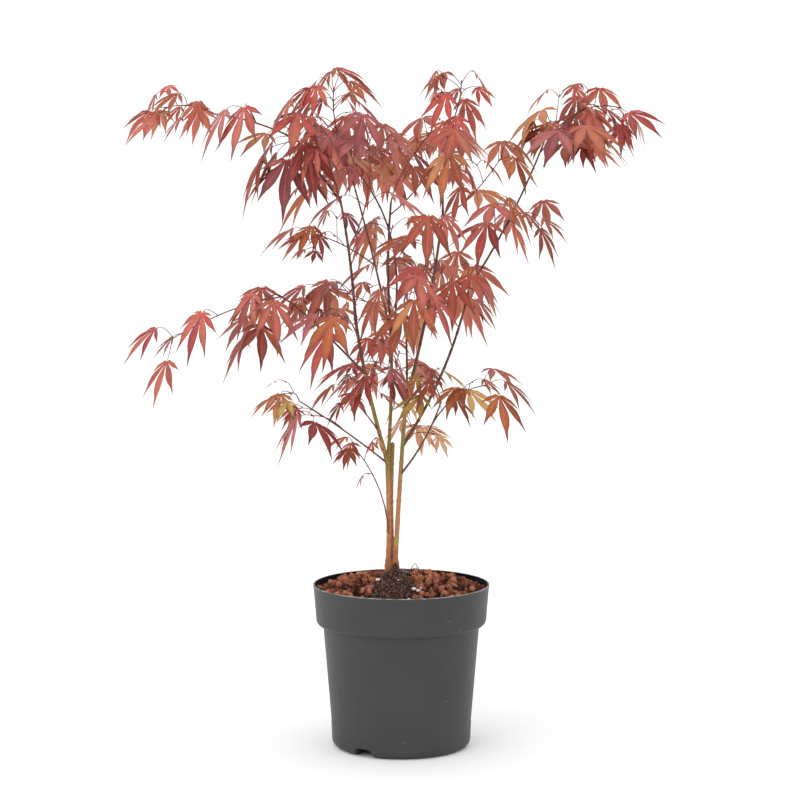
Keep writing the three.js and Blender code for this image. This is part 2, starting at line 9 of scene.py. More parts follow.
import json
import logging
import math
from dataclasses import dataclass
from enum import Enum
from typing import Iterable, Iterator, Optional, Sequence

import bmesh
import bpy
import numpy as np
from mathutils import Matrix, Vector
from mathutils.kdtree import KDTree

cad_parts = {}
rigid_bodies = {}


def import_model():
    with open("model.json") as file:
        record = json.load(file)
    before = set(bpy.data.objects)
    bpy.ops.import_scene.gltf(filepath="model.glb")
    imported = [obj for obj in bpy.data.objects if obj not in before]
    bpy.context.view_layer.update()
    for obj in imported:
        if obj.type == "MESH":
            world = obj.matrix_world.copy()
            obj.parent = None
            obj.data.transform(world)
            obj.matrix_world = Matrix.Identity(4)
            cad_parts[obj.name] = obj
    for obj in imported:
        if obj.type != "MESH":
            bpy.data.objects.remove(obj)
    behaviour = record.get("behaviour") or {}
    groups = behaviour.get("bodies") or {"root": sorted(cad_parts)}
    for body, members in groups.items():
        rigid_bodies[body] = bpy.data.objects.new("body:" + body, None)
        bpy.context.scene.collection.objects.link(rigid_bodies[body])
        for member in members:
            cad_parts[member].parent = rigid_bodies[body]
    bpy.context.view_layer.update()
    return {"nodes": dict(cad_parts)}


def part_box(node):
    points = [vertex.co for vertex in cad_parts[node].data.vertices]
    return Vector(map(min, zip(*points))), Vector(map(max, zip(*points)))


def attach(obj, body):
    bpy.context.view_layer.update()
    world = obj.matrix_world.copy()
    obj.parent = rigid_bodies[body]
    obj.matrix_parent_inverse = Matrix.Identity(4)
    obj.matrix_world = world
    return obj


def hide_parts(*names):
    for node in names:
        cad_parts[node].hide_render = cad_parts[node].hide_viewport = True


MM = 0.001
UP = np.array((0.0, 0.0, 1.0))
WORD = 0xFFFFFFFF
STREAM_STEP = 0x6D2B79F5
LOG = logging.getLogger("maple")

Point = np.ndarray
Pair = tuple[float, float]
Spot = tuple[float, float, float]
Rgba = tuple[float, float, float, float]
Paint = tuple[int, int, int]
Seat = tuple[float, int, int]
Quad = tuple[int, int, int, int]
Lines = list[tuple[Sequence[Point], Sequence[float]]]
Feeds = dict[int | str, object]


# ---------------------------------------------------------------- numbers and colours
def linear(red: int, green: int, blue: int) -> Rgba:
    """A solid colour from 0 to 255 as the linear light that a shader takes."""
    shares = (value / 255 for value in (red, green, blue))
    return (*(s / 12.92 if s <= 0.04045 else ((s + 0.055) / 1.055) ** 2.4 for s in shares), 1.0)


def blend(a: Rgba, b: Rgba, share: float) -> Rgba:
    """The colour that lies a share of the way from one colour to another."""
    return tuple(x + (y - x) * share for x, y in zip(a, b))


def unit(vector: Point) -> Point:
    """The vector at length one."""
    return vector / np.linalg.norm(vector)


def turned_about(vector: Point, axis: Point, angle: float) -> Point:
    """The vector turned about a unit axis by an angle in radians."""
    cos, sin = math.cos(angle), math.sin(angle)
    return vector * cos + np.cross(axis, vector) * sin + axis * (axis @ vector) * (1 - cos)


def ring_angles(count: int) -> list[float]:
    """The angles in radians of points that stand evenly round a circle."""
    return [2 * math.pi * i / count for i in range(count)]


class RandomStream:
    """A stream of numbers from 0 to 1 that is the same on every run."""

    def __init__(self, seed: int) -> None:
        """Starts the stream at a seed."""
        self.state = seed & WORD

    def __call__(self) -> float:
        """The next number."""
        self.state = (self.state + STREAM_STEP) & WORD
        mixed = (self.state ^ (self.state >> 15)) * (self.state | 1) & WORD
        mixed ^= (mixed + ((mixed ^ (mixed >> 7)) * (mixed | 61) & WORD)) & WORD
        return (mixed ^ (mixed >> 14)) / (WORD + 1)

    def between(self, low: float, high: float) -> float:
        """The next number, from low to high."""
        return low + (high - low) * self()


def seed_of(name: str) -> int:
    """The number that a name stands for, which starts its streams."""
    total = 7
    for letter in name:
        total = (total * 31 + ord(letter)) & WORD
    return total


# ---------------------------------------------------------------- the plant's named sizes
class Tint(Enum):
    """The autumn colours of the leaves."""

    CORAL = "coral"
    PURPLE = "purple"
    CRIMSON = "crimson"
    BRICK = "brick"
    ORANGE = "orange"
    OLIVE = "olive"
    PEACH = "peach"


@dataclass(frozen=True)
class Limb:
    """One limb, which leaves its parent at a share of the parent's length and arcs to its tip."""

    name: str
    parent: Optional[str]
    share: float
    tip: Spot
    bow: Spot
    radii: Pair
    offset: Spot = (0, 0, 0)


@dataclass(frozen=True)
class Sprig:
    """One mass of leaves: its stem, the pairs of leaves along it, their size and their tint.

    "fine" is the number of finer twigs that grow on from the stem between those leaves.
    """

    place: str
    on: str
    share: float
    tip: Spot
    bow: Spot
    pairs: int
    leaf: float
    tint: Tint
    lone: bool = False
    first: float = 0.45
    fine: int = 2

    @property
    def name(self) -> str:
        """The name of the mass's solid."""
        return f"leaves_{self.place}"


FOOT = Limb("trunk_foot", None, 0, (-10, 0.5, 201.3), (0, 0, 0), (7.6, 6.7))
FOOT_START = (-10.0, 0.5, 186.3)
LIMBS = (
    FOOT,
    Limb("stem_left", "trunk_foot", 1, (-15, -2, 310), (1, -1, 0), (2.9, 2.4), (-3.6, -1.6, 0)),
    Limb("stem_middle", "trunk_foot", 1, (-9.5, 4, 327), (-1.5, 1, 0), (2.9, 2.6), (0.2, 3.9, 0)),
    Limb("stem_right", "trunk_foot", 1, (5, 0, 374), (-0.5, 0, 0), (2.8, 2), (3.6, -1.6, 0)),
    Limb("bough_left_low", "stem_left", 1, (-48, -35, 462), (-3, 1, 0), (2.3, 1.7)),
    Limb("bough_left_high", "bough_left_low", 1, (-63, -55, 587), (2, 0, 0), (1.6, 1.2)),
    Limb("bough_top_left", "bough_left_high", 1, (-107, -60, 650), (-5, 0, 5), (1.15, 1)),
    Limb("bough_top_left_far", "bough_top_left", 1, (-193, -50, 677), (0, -4, 4), (0.95, 0.8)),
    Limb("leader_low", "stem_left", 0.96, (-11, 10, 447), (2, 0, 0), (2, 1.7)),
    Limb("leader_high", "leader_low", 1, (-11, 25, 585), (-3, 0, 0), (1.5, 1.1)),
    Limb("leader_back", "leader_low", 0.93, (-53, 95, 622), (22, -10, 12), (1.2, 0.9)),
    Limb("bough_inner_left", "leader_low", 0.97, (-56, 30, 621), (1, -4, 4), (1.2, 0.9)),
    Limb("bough_right_low", "stem_right", 1, (44, -10, 575), (4, 2, 0), (1.8, 1.3)),
    Limb("bough_centre_top", "bough_right_low", 1, (50, 8, 660), (-2, -3, 0), (1.1, 0.8)),
    Limb("bough_far_right_low", "stem_right", 0.72, (73, 20, 494), (8, 2, -4), (1.6, 1.25)),
    Limb("bough_far_right_high", "bough_far_right_low", 1, (155, 0, 659), (4, 2, -4), (1.2, 0.9)),
    Limb("bough_low_right", "stem_right", 0.54, (42, -35, 376), (3, 0, -3), (1.2, 0.8)),
    Limb("bough_mid_left", "bough_left_low", 0.62, (-130, -45, 490), (-12, 2, 16), (1.2, 0.8)),
    Limb("bough_low_left", "stem_left", 0.97, (-107, -40, 377), (0, 2, 2), (1, 0.7)),
    Limb("bough_front_centre", "stem_right", 0.97, (3, -110, 487), (2, -14, -8), (1.3, 0.9)),
)

CORAL, PURPLE, CRIMSON, BRICK, ORANGE, OLIVE, PEACH = Tint
SPRIGS = (
    Sprig("top_left_tip", "bough_top_left_far", 1, (-244, -40, 684), (0, 0, 5), 3, 38, CORAL, True,
          0.2, fine=2),
    Sprig("top_left_purple", "bough_top_left_far", 0.5, (-160, -66, 682), (0, 0, 4), 1, 60, PURPLE,
          True, fine=0),
    Sprig("top_left", "bough_top_left", 1, (-112, -78, 648), (0, 0, 4), 3, 62, CRIMSON, True, 0.1, fine=4),
    Sprig("top_left_inner", "bough_left_high", 0.8, (-80, -84, 646), (2, -4, 0), 3, 60, CRIMSON, True,
          0.3, fine=4),
    Sprig("peak_left", "bough_inner_left", 1, (-72, 22, 704), (-6, -4, 4), 4, 50, CORAL, True, 0.15, fine=9),
    Sprig("top_front", "bough_left_high", 0.6, (-34, -112, 648), (10, -8, 0), 2, 50, PURPLE, True, 0.4,
          fine=2),
    Sprig("top_back", "leader_back", 0.97, (-20, 150, 640), (0, 0, 6), 3, 54, BRICK, True, 0.2, fine=4),
    Sprig("peak_centre", "bough_centre_top", 1, (64, 20, 712), (3, 0, 0), 3, 42, CORAL, True, 0.1, fine=4),
    Sprig("top_right_front", "bough_centre_top", 0.25, (51, -124, 646), (0, -12, 0), 2, 50, CRIMSON,
          True, 0.4, fine=0),
    Sprig("leader_top", "leader_high", 1, (32, 55, 660), (-8, 0, -4), 2, 48, ORANGE, True, 0.4, fine=0),
    Sprig("top_right_back", "leader_high", 0.9, (52, 150, 650), (0, 10, -8), 3, 54, BRICK, True, 0.5, fine=4),
    Sprig("right_branch", "bough_right_low", 0.97, (104, -45, 632), (0, 0, -8), 2, 46, ORANGE, True,
          0.4, fine=1),
    Sprig("far_right_tip", "bough_far_right_high", 0.95, (232, 26, 686), (0, 4, 14), 3, 48, CORAL,
          True, 0.4, fine=5),
    Sprig("top_right", "bough_far_right_high", 1, (182, -10, 674), (-2, 0, 4), 3, 58, CRIMSON, True,
          0.15, fine=5),
    Sprig("top_right_low", "bough_far_right_high", 0.88, (180, -66, 666), (4, 0, 8), 3, 58, BRICK,
          True, 0.4, fine=3),
    Sprig("right_front", "bough_far_right_high", 0.3, (96, -62, 580), (0, -4, 6), 2, 50, CRIMSON, True,
          0.35, fine=0),
    Sprig("right", "bough_far_right_high", 0.4, (142, 34, 572), (0, 0, 8), 2, 38, BRICK, True, 0.3, fine=0),
    Sprig("front_right", "bough_right_low", 0.55, (30, -150, 556), (4, -14, -6), 2, 50, CRIMSON, True,
          0.5, fine=1),
    Sprig("back_centre", "leader_high", 0.4, (-10, 155, 556), (-4, 16, -8), 3, 54, BRICK, False, 0.4, fine=4),
    Sprig("back_right", "bough_right_low", 0.4, (60, 150, 510), (4, 10, -8), 3, 54, ORANGE, True, 0.4,
          fine=4),
    Sprig("front_centre", "bough_front_centre", 1, (10, -160, 498), (0, 0, 6), 2, 52, ORANGE, True,
          0.2, fine=0),
    Sprig("centre_right", "bough_right_low", 0.45, (64, -58, 496), (0, 0, -6), 1, 46, ORANGE, True, 0.4),
    Sprig("mid_left", "bough_mid_left", 1, (-148, -50, 474), (0, 0, 4), 3, 50, CRIMSON, True, 0.05, fine=1),
    Sprig("mid_left_far", "bough_mid_left", 0.9, (-246, -34, 440), (4, 8, 8), 2, 52, CORAL, False, 0.6,
          fine=1),
    Sprig("inner_left", "bough_inner_left", 0.4, (-90, -20, 552), (0, -6, 4), 1, 42, BRICK, True, fine=4),
    Sprig("back_left", "leader_high", 0.06, (-88, 104, 488), (6, 4, 8), 3, 52, BRICK, False, 0.4, fine=4),
    Sprig("front_left", "bough_left_low", 0.86, (-62, -126, 472), (0, -6, 9), 3, 52, CRIMSON, True,
          0.34, fine=0),
    Sprig("low_front", "bough_left_low", 0.5, (-28, -98, 424), (4, -6, 8), 3, 50, CRIMSON, False, 0.3,
          fine=3),
    Sprig("low_back", "leader_low", 0.4, (-2, 104, 418), (0, 6, 8), 2, 52, BRICK, False, 0.45, fine=4),
    Sprig("low_inner", "bough_left_low", 0.2, (-58, -46, 384), (0, 0, 4), 1, 38, BRICK, False),
    Sprig("low_left", "bough_low_left", 1, (-115, -42, 386), (0, 0, 3), 1, 36, OLIVE, True, fine=1),
    Sprig("low_left_front", "bough_low_left", 0.5, (-92, -62, 364), (0, -4, 5), 1, 48, PURPLE, True, fine=1),
    Sprig("wand", "stem_left", 0.2, (-50, -20, 326), (9, -4, 4), 1, 34, BRICK, True),
    Sprig("low_right", "bough_low_right", 1, (34, -60, 396), (0, 0, 3), 2, 44, OLIVE, True, 0.1, fine=1),
    Sprig("low_right_far", "bough_low_right", 0.7, (88, -40, 394), (-4, 0, 8), 2, 46, ORANGE, True,
          0.5, fine=1),
    Sprig("low_peach", "stem_right", 0.7, (14, 40, 338), (2, 0, 3), 1, 42, PEACH, True),
)


@dataclass(frozen=True)
class Hand:
    """The lobes of one kind of leaf: their directions in degrees and their shares of its length."""

    angles: tuple[float, ...]
    lengths: tuple[float, ...]


FIVE = Hand((-76, -38, 0, 38, 76), (0.5, 0.84, 1, 0.84, 0.5))
SEVEN = Hand((-104, -68, -34, 0, 34, 68, 104), (0.3, 0.6, 0.88, 1, 0.88, 0.6, 0.3))


@dataclass(frozen=True)
class Growth:
    """The rule by which leaves stand on a stem, as the solids have it."""

    last_pair: float = 0.96
    lone: float = 0.99
    apart: float = 0.7
    turn: float = 50.0
    roll: float = 50.0
    forward: Pair = (0.35, 0.75)
    lift: Pair = (-0.15, 0.15)
    sizes: Pair = (0.85, 1.13)
    stalk: float = 0.5
    stalks: Pair = (0.8, 1.2)
    pitch: Pair = (18.0, 66.0)
    yaw: float = 0.45
    tilt: float = 0.4
    upright_stem: float = 0.35
    seven_lobes: float = 0.11
    droop: float = 0.2
    neck: float = 0.2
    tries: int = 8
    stem_radii: Pair = (0.9, 0.55)


@dataclass(frozen=True)
class FineGrowth:
    """The rule by which finer twigs grow on between a mass's leaves, with two leaves each."""

    last: float = 0.98
    reach: Pair = (0.35, 0.6)
    rise: Pair = (-2.0, 6.0)
    bow: Pair = (1.0, 4.0)
    radii: Pair = (0.5, 0.36)
    seat: float = 0.94
    tries: int = 4
    sizes: Pair = (0.5, 0.72)
    inset: float = 1.0
    crowd: float = 0.3


RULE = Growth()
FINE_RULE = FineGrowth()


class Arc:
    """A line from start to tip, bowed at mid length, with a radius that tapers along it."""

    def __init__(self, start: Point, tip: Sequence[float], bow: Sequence[float],
                 radii: Sequence[float]) -> None:
        """Takes the ends, the bow at mid length and the two radii, in millimetres."""
        self.start, self.tip = np.array(start, float), np.array(tip, float)
        self.bow, self.radii = np.array(bow, float), radii
        self.length = float(np.linalg.norm(self.tip - self.start))

    def at(self, share: float) -> Point:
        """The point at a share of the length."""
        return self.start + (self.tip - self.start) * share + self.bow * (4 * share * (1 - share))

    def heading(self, share: float) -> Point:
        """The direction in which the arc runs at a share of its length."""
        return unit(self.tip - self.start + self.bow * (4 - 8 * share))

    def radius(self, share: float) -> float:
        """The radius at a share of the length."""
        return self.radii[0] + (self.radii[1] - self.radii[0]) * share

    def frame(self, share: float) -> tuple[Point, Point]:
        """Two directions square to the arc at a share of its length."""
        across = np.zeros(3)
        across[int(np.argmin(np.abs(self.tip - self.start)))] = 1
        heading = self.heading(share)
        side = unit(np.cross(across, heading))
        return side, np.cross(heading, side)


# ---------------------------------------------------------------- meshes and materials
def add_to_scene(name: str, data: bpy.types.ID) -> bpy.types.Object:
    """Makes an object of a mesh, a curve, a light or a camera, and links it to the scene."""
    thing = bpy.data.objects.new(name, data)
    bpy.context.scene.collection.objects.link(thing)
    return thing


def new_object(name: str, corners: Iterable, faces: Iterable, materials: Sequence,
               smooth: bool) -> bpy.types.Object:
    """Makes one mesh object.

    Args:
        name: The object's name.
        corners: The corners in metres.
        faces: The corner numbers of each face, in order seen from outside.
        materials: Its materials, one for each slot.
        smooth: Whether the shading runs on over the faces.

    Returns:
        The object, linked to the scene.
    """
    mesh = bpy.data.meshes.new(name)
    mesh.from_pydata([tuple(c) for c in corners], [], [tuple(f) for f in faces])
    mesh.validate()
    for material in materials:
        mesh.materials.append(material)
    mesh.polygons.foreach_set("use_smooth", [smooth] * len(mesh.polygons))
    return add_to_scene(name, mesh)


def new_lines(name: str, ways: Lines) -> bpy.types.Object:
    """Makes one curve object of lines that run straight from point to point.

    Args:
        name: The object's name.
        ways: The points of each line and the radius at each point, in millimetres.

    Returns:
        The object, linked to the scene.
    """
    curve = bpy.data.curves.new(name, "CURVE")
    curve.dimensions = "3D"
    for points, radii in ways:
        line = curve.splines.new("POLY")
        line.points.add(len(points) - 1)
        for spot, point, radius in zip(line.points, points, radii):
            spot.co = (*(value * MM for value in point), 1)
            spot.radius = radius * MM
    return add_to_scene(name, curve)


def mesh_of(name: str, form: bmesh.types.BMesh) -> bpy.types.Mesh:
    """Turns a form into a mesh, and frees the form."""
    mesh = bpy.data.meshes.new(name)
    form.to_mesh(mesh)
    form.free()
    return mesh


def band_faces(first: int, bands: int, sides: int) -> Iterator[Quad]:
    """The faces between rings of corners that follow one another.

    Args:
        first: The number of the first ring's first corner.
        bands: How many bands of faces there are, one less than the rings.
        sides: How many corners a ring has.

    Yields:
        The corner numbers of each face, in order round it.
    """
    for start in range(first, first + bands * sides, sides):
        for i in range(sides):
            a, b = start + i, start + (i + 1) % sides
            yield a, b, b + sides, a + sides


def settle(thing: bpy.types.Object) -> bpy.types.Object:
    """Turns an object with live modifiers into a plain mesh of the same name.

    Args:
        thing: The object with its modifiers.

    Returns:
        The plain object that takes its place.
    """
    name = thing.name
    bpy.context.view_layer.update()
    evaluated = thing.evaluated_get(bpy.context.evaluated_depsgraph_get())
    mesh = bpy.data.meshes.new_from_object(evaluated)
    bpy.data.objects.remove(thing)
    mesh.name = name
    return add_to_scene(name, mesh)


def finish_piece(thing: bpy.types.Object, nodes: Iterable[str] = ()) -> None:
    """Puts a finished piece on the part's body and in place of its nodes.

    Args:
        thing: The finished object.
        nodes: The solids that the piece stands for.
    """
    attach(thing, "root")
    nodes = list(nodes)
    if nodes:
        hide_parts(*nodes)
    LOG.info("%s: %d faces, for %d solids", thing.name, len(thing.data.polygons), len(nodes))


class Graph:
    """A node tree under construction, which adds nodes and feeds their inputs."""

    def __init__(self, tree: bpy.types.NodeTree) -> None:
        """Takes the tree that grows."""
        self.tree = tree

    def feed(self, value: object, target: bpy.types.NodeSocket) -> None:
        """Joins a socket to an input, or sets the input to a plain value."""
        if isinstance(value, bpy.types.NodeSocket):
            self.tree.links.new(value, target)
        else:
            target.default_value = value

    def node(self, kind: str, feeds: Optional[Feeds] = None, **settings: object) -> bpy.types.Node:
        """Adds one node.

        Args:
            kind: The node's kind.
            feeds: A socket or a plain value for each input, by its name or number.
            settings: The node's own settings.

        Returns:
            The node.
        """
        node = self.tree.nodes.new(kind)
        for name, value in settings.items():
            setattr(node, name, value)
        for place, value in (feeds or {}).items():
            self.feed(value, node.inputs[place])
        return node


class ShaderGroup:
    """Builds the shader node groups that several materials use, each of them once."""

    made: dict[str, bpy.types.ShaderNodeTree] = {}

    @classmethod
    def mottle(cls) -> bpy.types.ShaderNodeTree:
        """A soft-edged mask of patches, from noise over the object.

        Returns:
            The group, with Size in metres, Detail, Low, High and Stretch in, and Mask and
            Height out.
        """
        if "mottle" in cls.made:
            return cls.made["mottle"]
        tree = bpy.data.node_groups.new("mottle", "ShaderNodeTree")
        for name, value in (("Size", 0.01), ("Detail", 3.0), ("Low", 0.4), ("High", 0.6), ("Stretch", 1.0)):
            socket = tree.interface.new_socket(name, in_out="INPUT", socket_type="NodeSocketFloat")
            socket.default_value = value
        for name in ("Mask", "Height"):
            tree.interface.new_socket(name, in_out="OUTPUT", socket_type="NodeSocketFloat")
        graph = Graph(tree)
        given = graph.node("NodeGroupInput").outputs
        place = graph.node("ShaderNodeTexCoord").outputs["Object"]
        squeeze = graph.node("ShaderNodeCombineXYZ", {"X": 1, "Y": 1, "Z": given["Stretch"]}).outputs[0]
        stretched = graph.node("ShaderNodeVectorMath", {0: place, 1: squeeze}, operation="MULTIPLY")
        scale = graph.node("ShaderNodeMath", {0: 1, 1: given["Size"]}, operation="DIVIDE")
        noise = graph.node("ShaderNodeTexNoise", {
            "Vector": stretched.outputs[0], "Scale": scale.outputs[0], "Detail": given["Detail"],
        }).outputs["Fac"]
        spread = graph.node("ShaderNodeMapRange", {
            "Value": noise, "From Min": given["Low"], "From Max": given["High"],
        })
        graph.node("NodeGroupOutput", {"Mask": spread.outputs["Result"], "Height": noise})
        cls.made["mottle"] = tree
        return tree


class Surface(Graph):
    """One material: its nodes and the one shader that they feed."""

    def __init__(self, name: str, roughness: float, specular: float) -> None:
        """Starts a material with a plain roughness and specular level."""
        self.material = bpy.data.materials.new(name)
        self.material.use_nodes = True
        super().__init__(self.material.node_tree)
        self.shader = self.tree.nodes["Principled BSDF"]
        self.shader.inputs["Roughness"].default_value = roughness
        self.shader.inputs["Specular IOR Level"].default_value = specular

    def spot_on_object(self) -> bpy.types.NodeSocket:
        """The place of the shaded spot on the object, in metres."""
        return self.node("ShaderNodeTexCoord").outputs["Object"]

    def attribute(self, name: str) -> bpy.types.NodeSocket:
        """The value of one of the mesh's own named attributes."""
        return self.node("ShaderNodeAttribute", attribute_name=name).outputs["Fac"]

    def parts(self, vector: bpy.types.NodeSocket) -> bpy.types.NodeOutputs:
        """The X, Y and Z of a vector."""
        return self.node("ShaderNodeSeparateXYZ", {0: vector}).outputs

    def mottle(self, size: float, low: float, high: float, detail: float = 3,
               stretch: float = 1) -> bpy.types.NodeOutputs:
        """Adds the group of patches, whose size is in millimetres, and gives its Mask and Height."""
        feeds = {"Size": size * MM, "Low": low, "High": high, "Detail": detail, "Stretch": stretch}
        return self.node("ShaderNodeGroup", feeds, node_tree=ShaderGroup.mottle()).outputs

    def spot(self, place: Sequence[float], reach: float) -> bpy.types.NodeSocket:
        """A ragged mask about one place on the object, both in millimetres."""
        feeds = {0: self.spot_on_object(), 1: [value * MM for value in place]}
        away = self.node("ShaderNodeVectorMath", feeds, operation="DISTANCE").outputs["Value"]
        pull = self.math("MULTIPLY_ADD", self.mottle(0.5 * reach, 0.0, 1.0, 4)["Height"], 1.6, 0.2)
        return self.fade(self.math("MULTIPLY", away, pull), (0.5 * reach * MM, reach * MM), (1.0, 0.0))

    def fade(self, value: bpy.types.NodeSocket, given: Pair, wanted: Pair) -> bpy.types.NodeSocket:
        """Brings a value from one span to another, and holds it at the ends."""
        feeds = dict(zip(("From Min", "From Max", "To Min", "To Max"), (*given, *wanted)))
        return self.node("ShaderNodeMapRange", {"Value": value, **feeds}).outputs["Result"]

    def mix(self, mask: bpy.types.NodeSocket, a: object, b: object,
            most: float = 1.0) -> bpy.types.NodeSocket:
        """Mixes two colours, each a socket or a linear colour.

        Args:
            mask: Where the second colour shows.
            a: The first colour.
            b: The second colour.
            most: The share of the second colour where the mask is full.

        Returns:
            The mixed colour.
        """
        if most < 1:
            mask = self.math("MULTIPLY", mask, most)
        return self.node("ShaderNodeMix", {0: mask, 6: a, 7: b}, data_type="RGBA").outputs[2]

    def ramp(self, value: bpy.types.NodeSocket, stops: Sequence[tuple[float, Rgba]]) -> bpy.types.NodeSocket:
        """Turns a value into a colour by stops."""
        node = self.node("ShaderNodeValToRGB", {"Fac": value})
        points = node.color_ramp.elements
        while len(points) < len(stops):
            points.new(1)
        for point, (place, colour) in zip(points, stops):
            point.position, point.color = place, colour
        return node.outputs["Color"]

    def math(self, operation: str, a: object, b: object, c: float = 0.0) -> bpy.types.NodeSocket:
        """Joins values by an operation: a and b are sockets or numbers, and few need c."""
        return self.node("ShaderNodeMath", {0: a, 1: b, 2: c}, operation=operation).outputs[0]

    def bump(self, height: bpy.types.NodeSocket, strength: float, distance: float) -> None:
        """Raises the surface by a height, at most a distance in millimetres."""
        feeds = {"Strength": strength, "Distance": distance * MM, "Height": height}
        self.feed(self.node("ShaderNodeBump", feeds).outputs["Normal"], self.shader.inputs["Normal"])

    def colour(self, source: bpy.types.NodeSocket) -> None:
        """Feeds the shader's base colour."""
        self.feed(source, self.shader.inputs["Base Color"])


@dataclass(frozen=True)
class LeafFinish:
    """The finish of the leaves of one tint, in a plain, a light and a deep shade.

    "kin" says how a spray of this tint deals out its leaves: each tint with the share up to which
    it is drawn.
    """

    tint: Tint
    base: Paint
    light: Paint
    deep: Paint
    kin: tuple[tuple[Tint, float], ...]
    rib: Paint = (238, 164, 108)
    rib_share: float = 0.32
    rib_width: Pair = (0.03, 0.18)
    # The paler underside is partly the leaf's own colour and partly painted light shining through the blade.
    underside: Paint = (214, 140, 112)
    underside_share: float = 0.3
    edge: Paint = (62, 26, 34)
    edge_share: float = 0.72
    margin_width: Pair = (0.5, 1.0)
    tail_length: Pair = (0.62, 0.9)
    patch: Rgba = (0.02, 0.008, 0.008, 1.0)
    patch_share: float = 0.2
    roughness: float = 0.5
    specular: float = 0.38

    def materials(self) -> list[bpy.types.Material]:
        """The tint's three materials."""
        shades = (("plain", self.base), ("light", self.light), ("deep", self.deep))
        return [self.shade(f"leaf_{self.tint.value}_{word}", linear(*rgb)) for word, rgb in shades]

    def shade(self, name: str, base: Rgba) -> bpy.types.Material:
        """One shade: its base colour, a paler midrib, a paler underside that is partly the leaf's own and
        partly painted light shining through, dark edges and faint patches.

        Args:
            name: The material's name.
            base: The linear base colour.

        Returns:
            The material.
        """
        surface = Surface(name, self.roughness, self.specular)
        parts = surface.parts(surface.node("ShaderNodeUVMap", uv_map="lobe").outputs["UV"])
        patches = surface.mottle(9, 0.36, 0.64)
        worn = surface.mix(patches["Mask"], base, blend(base, self.patch, self.patch_share))
        margin = surface.fade(parts["X"], self.margin_width, (0.0, 0.56))
        tail = surface.fade(parts["Y"], self.tail_length, (0.0, 0.95))
        dark = blend(base, linear(*self.edge), self.edge_share)
        edged = surface.mix(surface.math("MAXIMUM", margin, tail), worn, dark)
        rib = surface.fade(parts["X"], self.rib_width, (0.5, 0.0))
        ribbed = surface.mix(rib, edged, blend(base, linear(*self.rib), self.rib_share))
        # From behind the blade is paler: partly its own underside, partly painted light shining through.
        back = surface.node("ShaderNodeNewGeometry").outputs["Backfacing"]
        pale = blend(base, linear(*self.underside), self.underside_share)
        surface.colour(surface.mix(back, ribbed, pale))
        surface.bump(patches["Height"], 0.25, 0.5)
        return surface.material

    def deal(self, draw: float) -> Tint:
        """The tint of one leaf in a spray of this tint, by a number from 0 to 1."""
        return next(tint for tint, share in self.kin if draw <= share)


LEAF_FINISHES = {finish.tint: finish for finish in (
    LeafFinish(CORAL, (194, 76, 66), (194, 98, 80), (164, 60, 56),
               ((CORAL, 0.56), (ORANGE, 0.76), (BRICK, 0.88), (CRIMSON, 1))),
    LeafFinish(PURPLE, (162, 82, 82), (178, 100, 98), (140, 64, 68),
               ((PURPLE, 0.72), (BRICK, 0.86), (CRIMSON, 1))),
    LeafFinish(CRIMSON, (178, 76, 68), (188, 98, 84), (150, 59, 56),
               ((CRIMSON, 0.5), (PURPLE, 0.64), (BRICK, 0.84), (ORANGE, 1))),
    LeafFinish(BRICK, (167, 75, 53), (182, 100, 72), (138, 56, 42),
               ((BRICK, 0.52), (ORANGE, 0.76), (CRIMSON, 0.92), (PURPLE, 1))),
    LeafFinish(ORANGE, (177, 94, 52), (190, 120, 72), (152, 73, 44),
               ((ORANGE, 0.5), (BRICK, 0.76), (CRIMSON, 0.935), (OLIVE, 0.95), (CRIMSON, 1))),
    LeafFinish(OLIVE, (182, 150, 74), (198, 168, 92), (188, 114, 64),
               ((OLIVE, 0.6), (ORANGE, 1))),
    LeafFinish(PEACH, (222, 168, 122), (230, 186, 140), (206, 144, 100),
               ((PEACH, 0.7), (OLIVE, 1))),
)}


@dataclass(frozen=True)
class BarkFinish:
    """The finish of the bark: tan at the foot, green above, and dark purple on the thin boughs."""

    tan: Paint = (188, 130, 88)
    brown: Paint = (150, 94, 62)
    green: Paint = (140, 128, 62)
    dark: Paint = (70, 40, 42)
    knot: Paint = (58, 34, 26)
    knot_place: Spot = (-7.0, -5.0, 195.5)
    # A pale yellow-green spot on the front of the right stem, just above the soil.
    pale_spot: Paint = (170, 146, 84)
    pale_spot_place: Spot = (-5.0, -4.0, 221.0)
    height: float = 0.75
    wander: float = 0.09

    def material(self) -> bpy.types.Material:
        """Builds the bark.

        Returns:
            The material, whose colour changes with the height above the floor.
        """
        surface = Surface("bark", 0.62, 0.3)
        clouds = surface.mottle(24, 0.3, 0.7, 4, 0.5)
        shift = surface.math("MULTIPLY_ADD", clouds["Height"], self.wander, -self.wander / 2)
        height = surface.math("ADD", surface.parts(surface.spot_on_object())["Z"], shift)
        share = surface.math("DIVIDE", height, self.height)
        zones = surface.ramp(share, (
            (0.25, linear(*self.brown)), (0.30, linear(*self.tan)), (0.375, linear(*self.tan)),
            (0.42, linear(*self.green)), (0.50, linear(*self.green)), (0.60, linear(*self.dark)),
        ))
        zones = surface.mix(surface.attribute("thin"), zones, linear(*self.dark))
        streaks = surface.mottle(1.6, 0.42, 0.68, 5, 0.16)
        flecks = surface.mottle(3.2, 0.56, 0.66, 3, 0.6)
        worn = surface.mix(streaks["Mask"], zones, linear(*self.brown), 0.6)
        aged = surface.mix(flecks["Mask"], worn, linear(*self.dark), 0.5)
        pale_spotted = surface.mix(surface.spot(self.pale_spot_place, 5.5), aged, linear(*self.pale_spot))
        surface.colour(surface.mix(surface.spot(self.knot_place, 4.5), pale_spotted, linear(*self.knot)))
        surface.bump(streaks["Height"], 0.5, 0.6)
        return surface.material


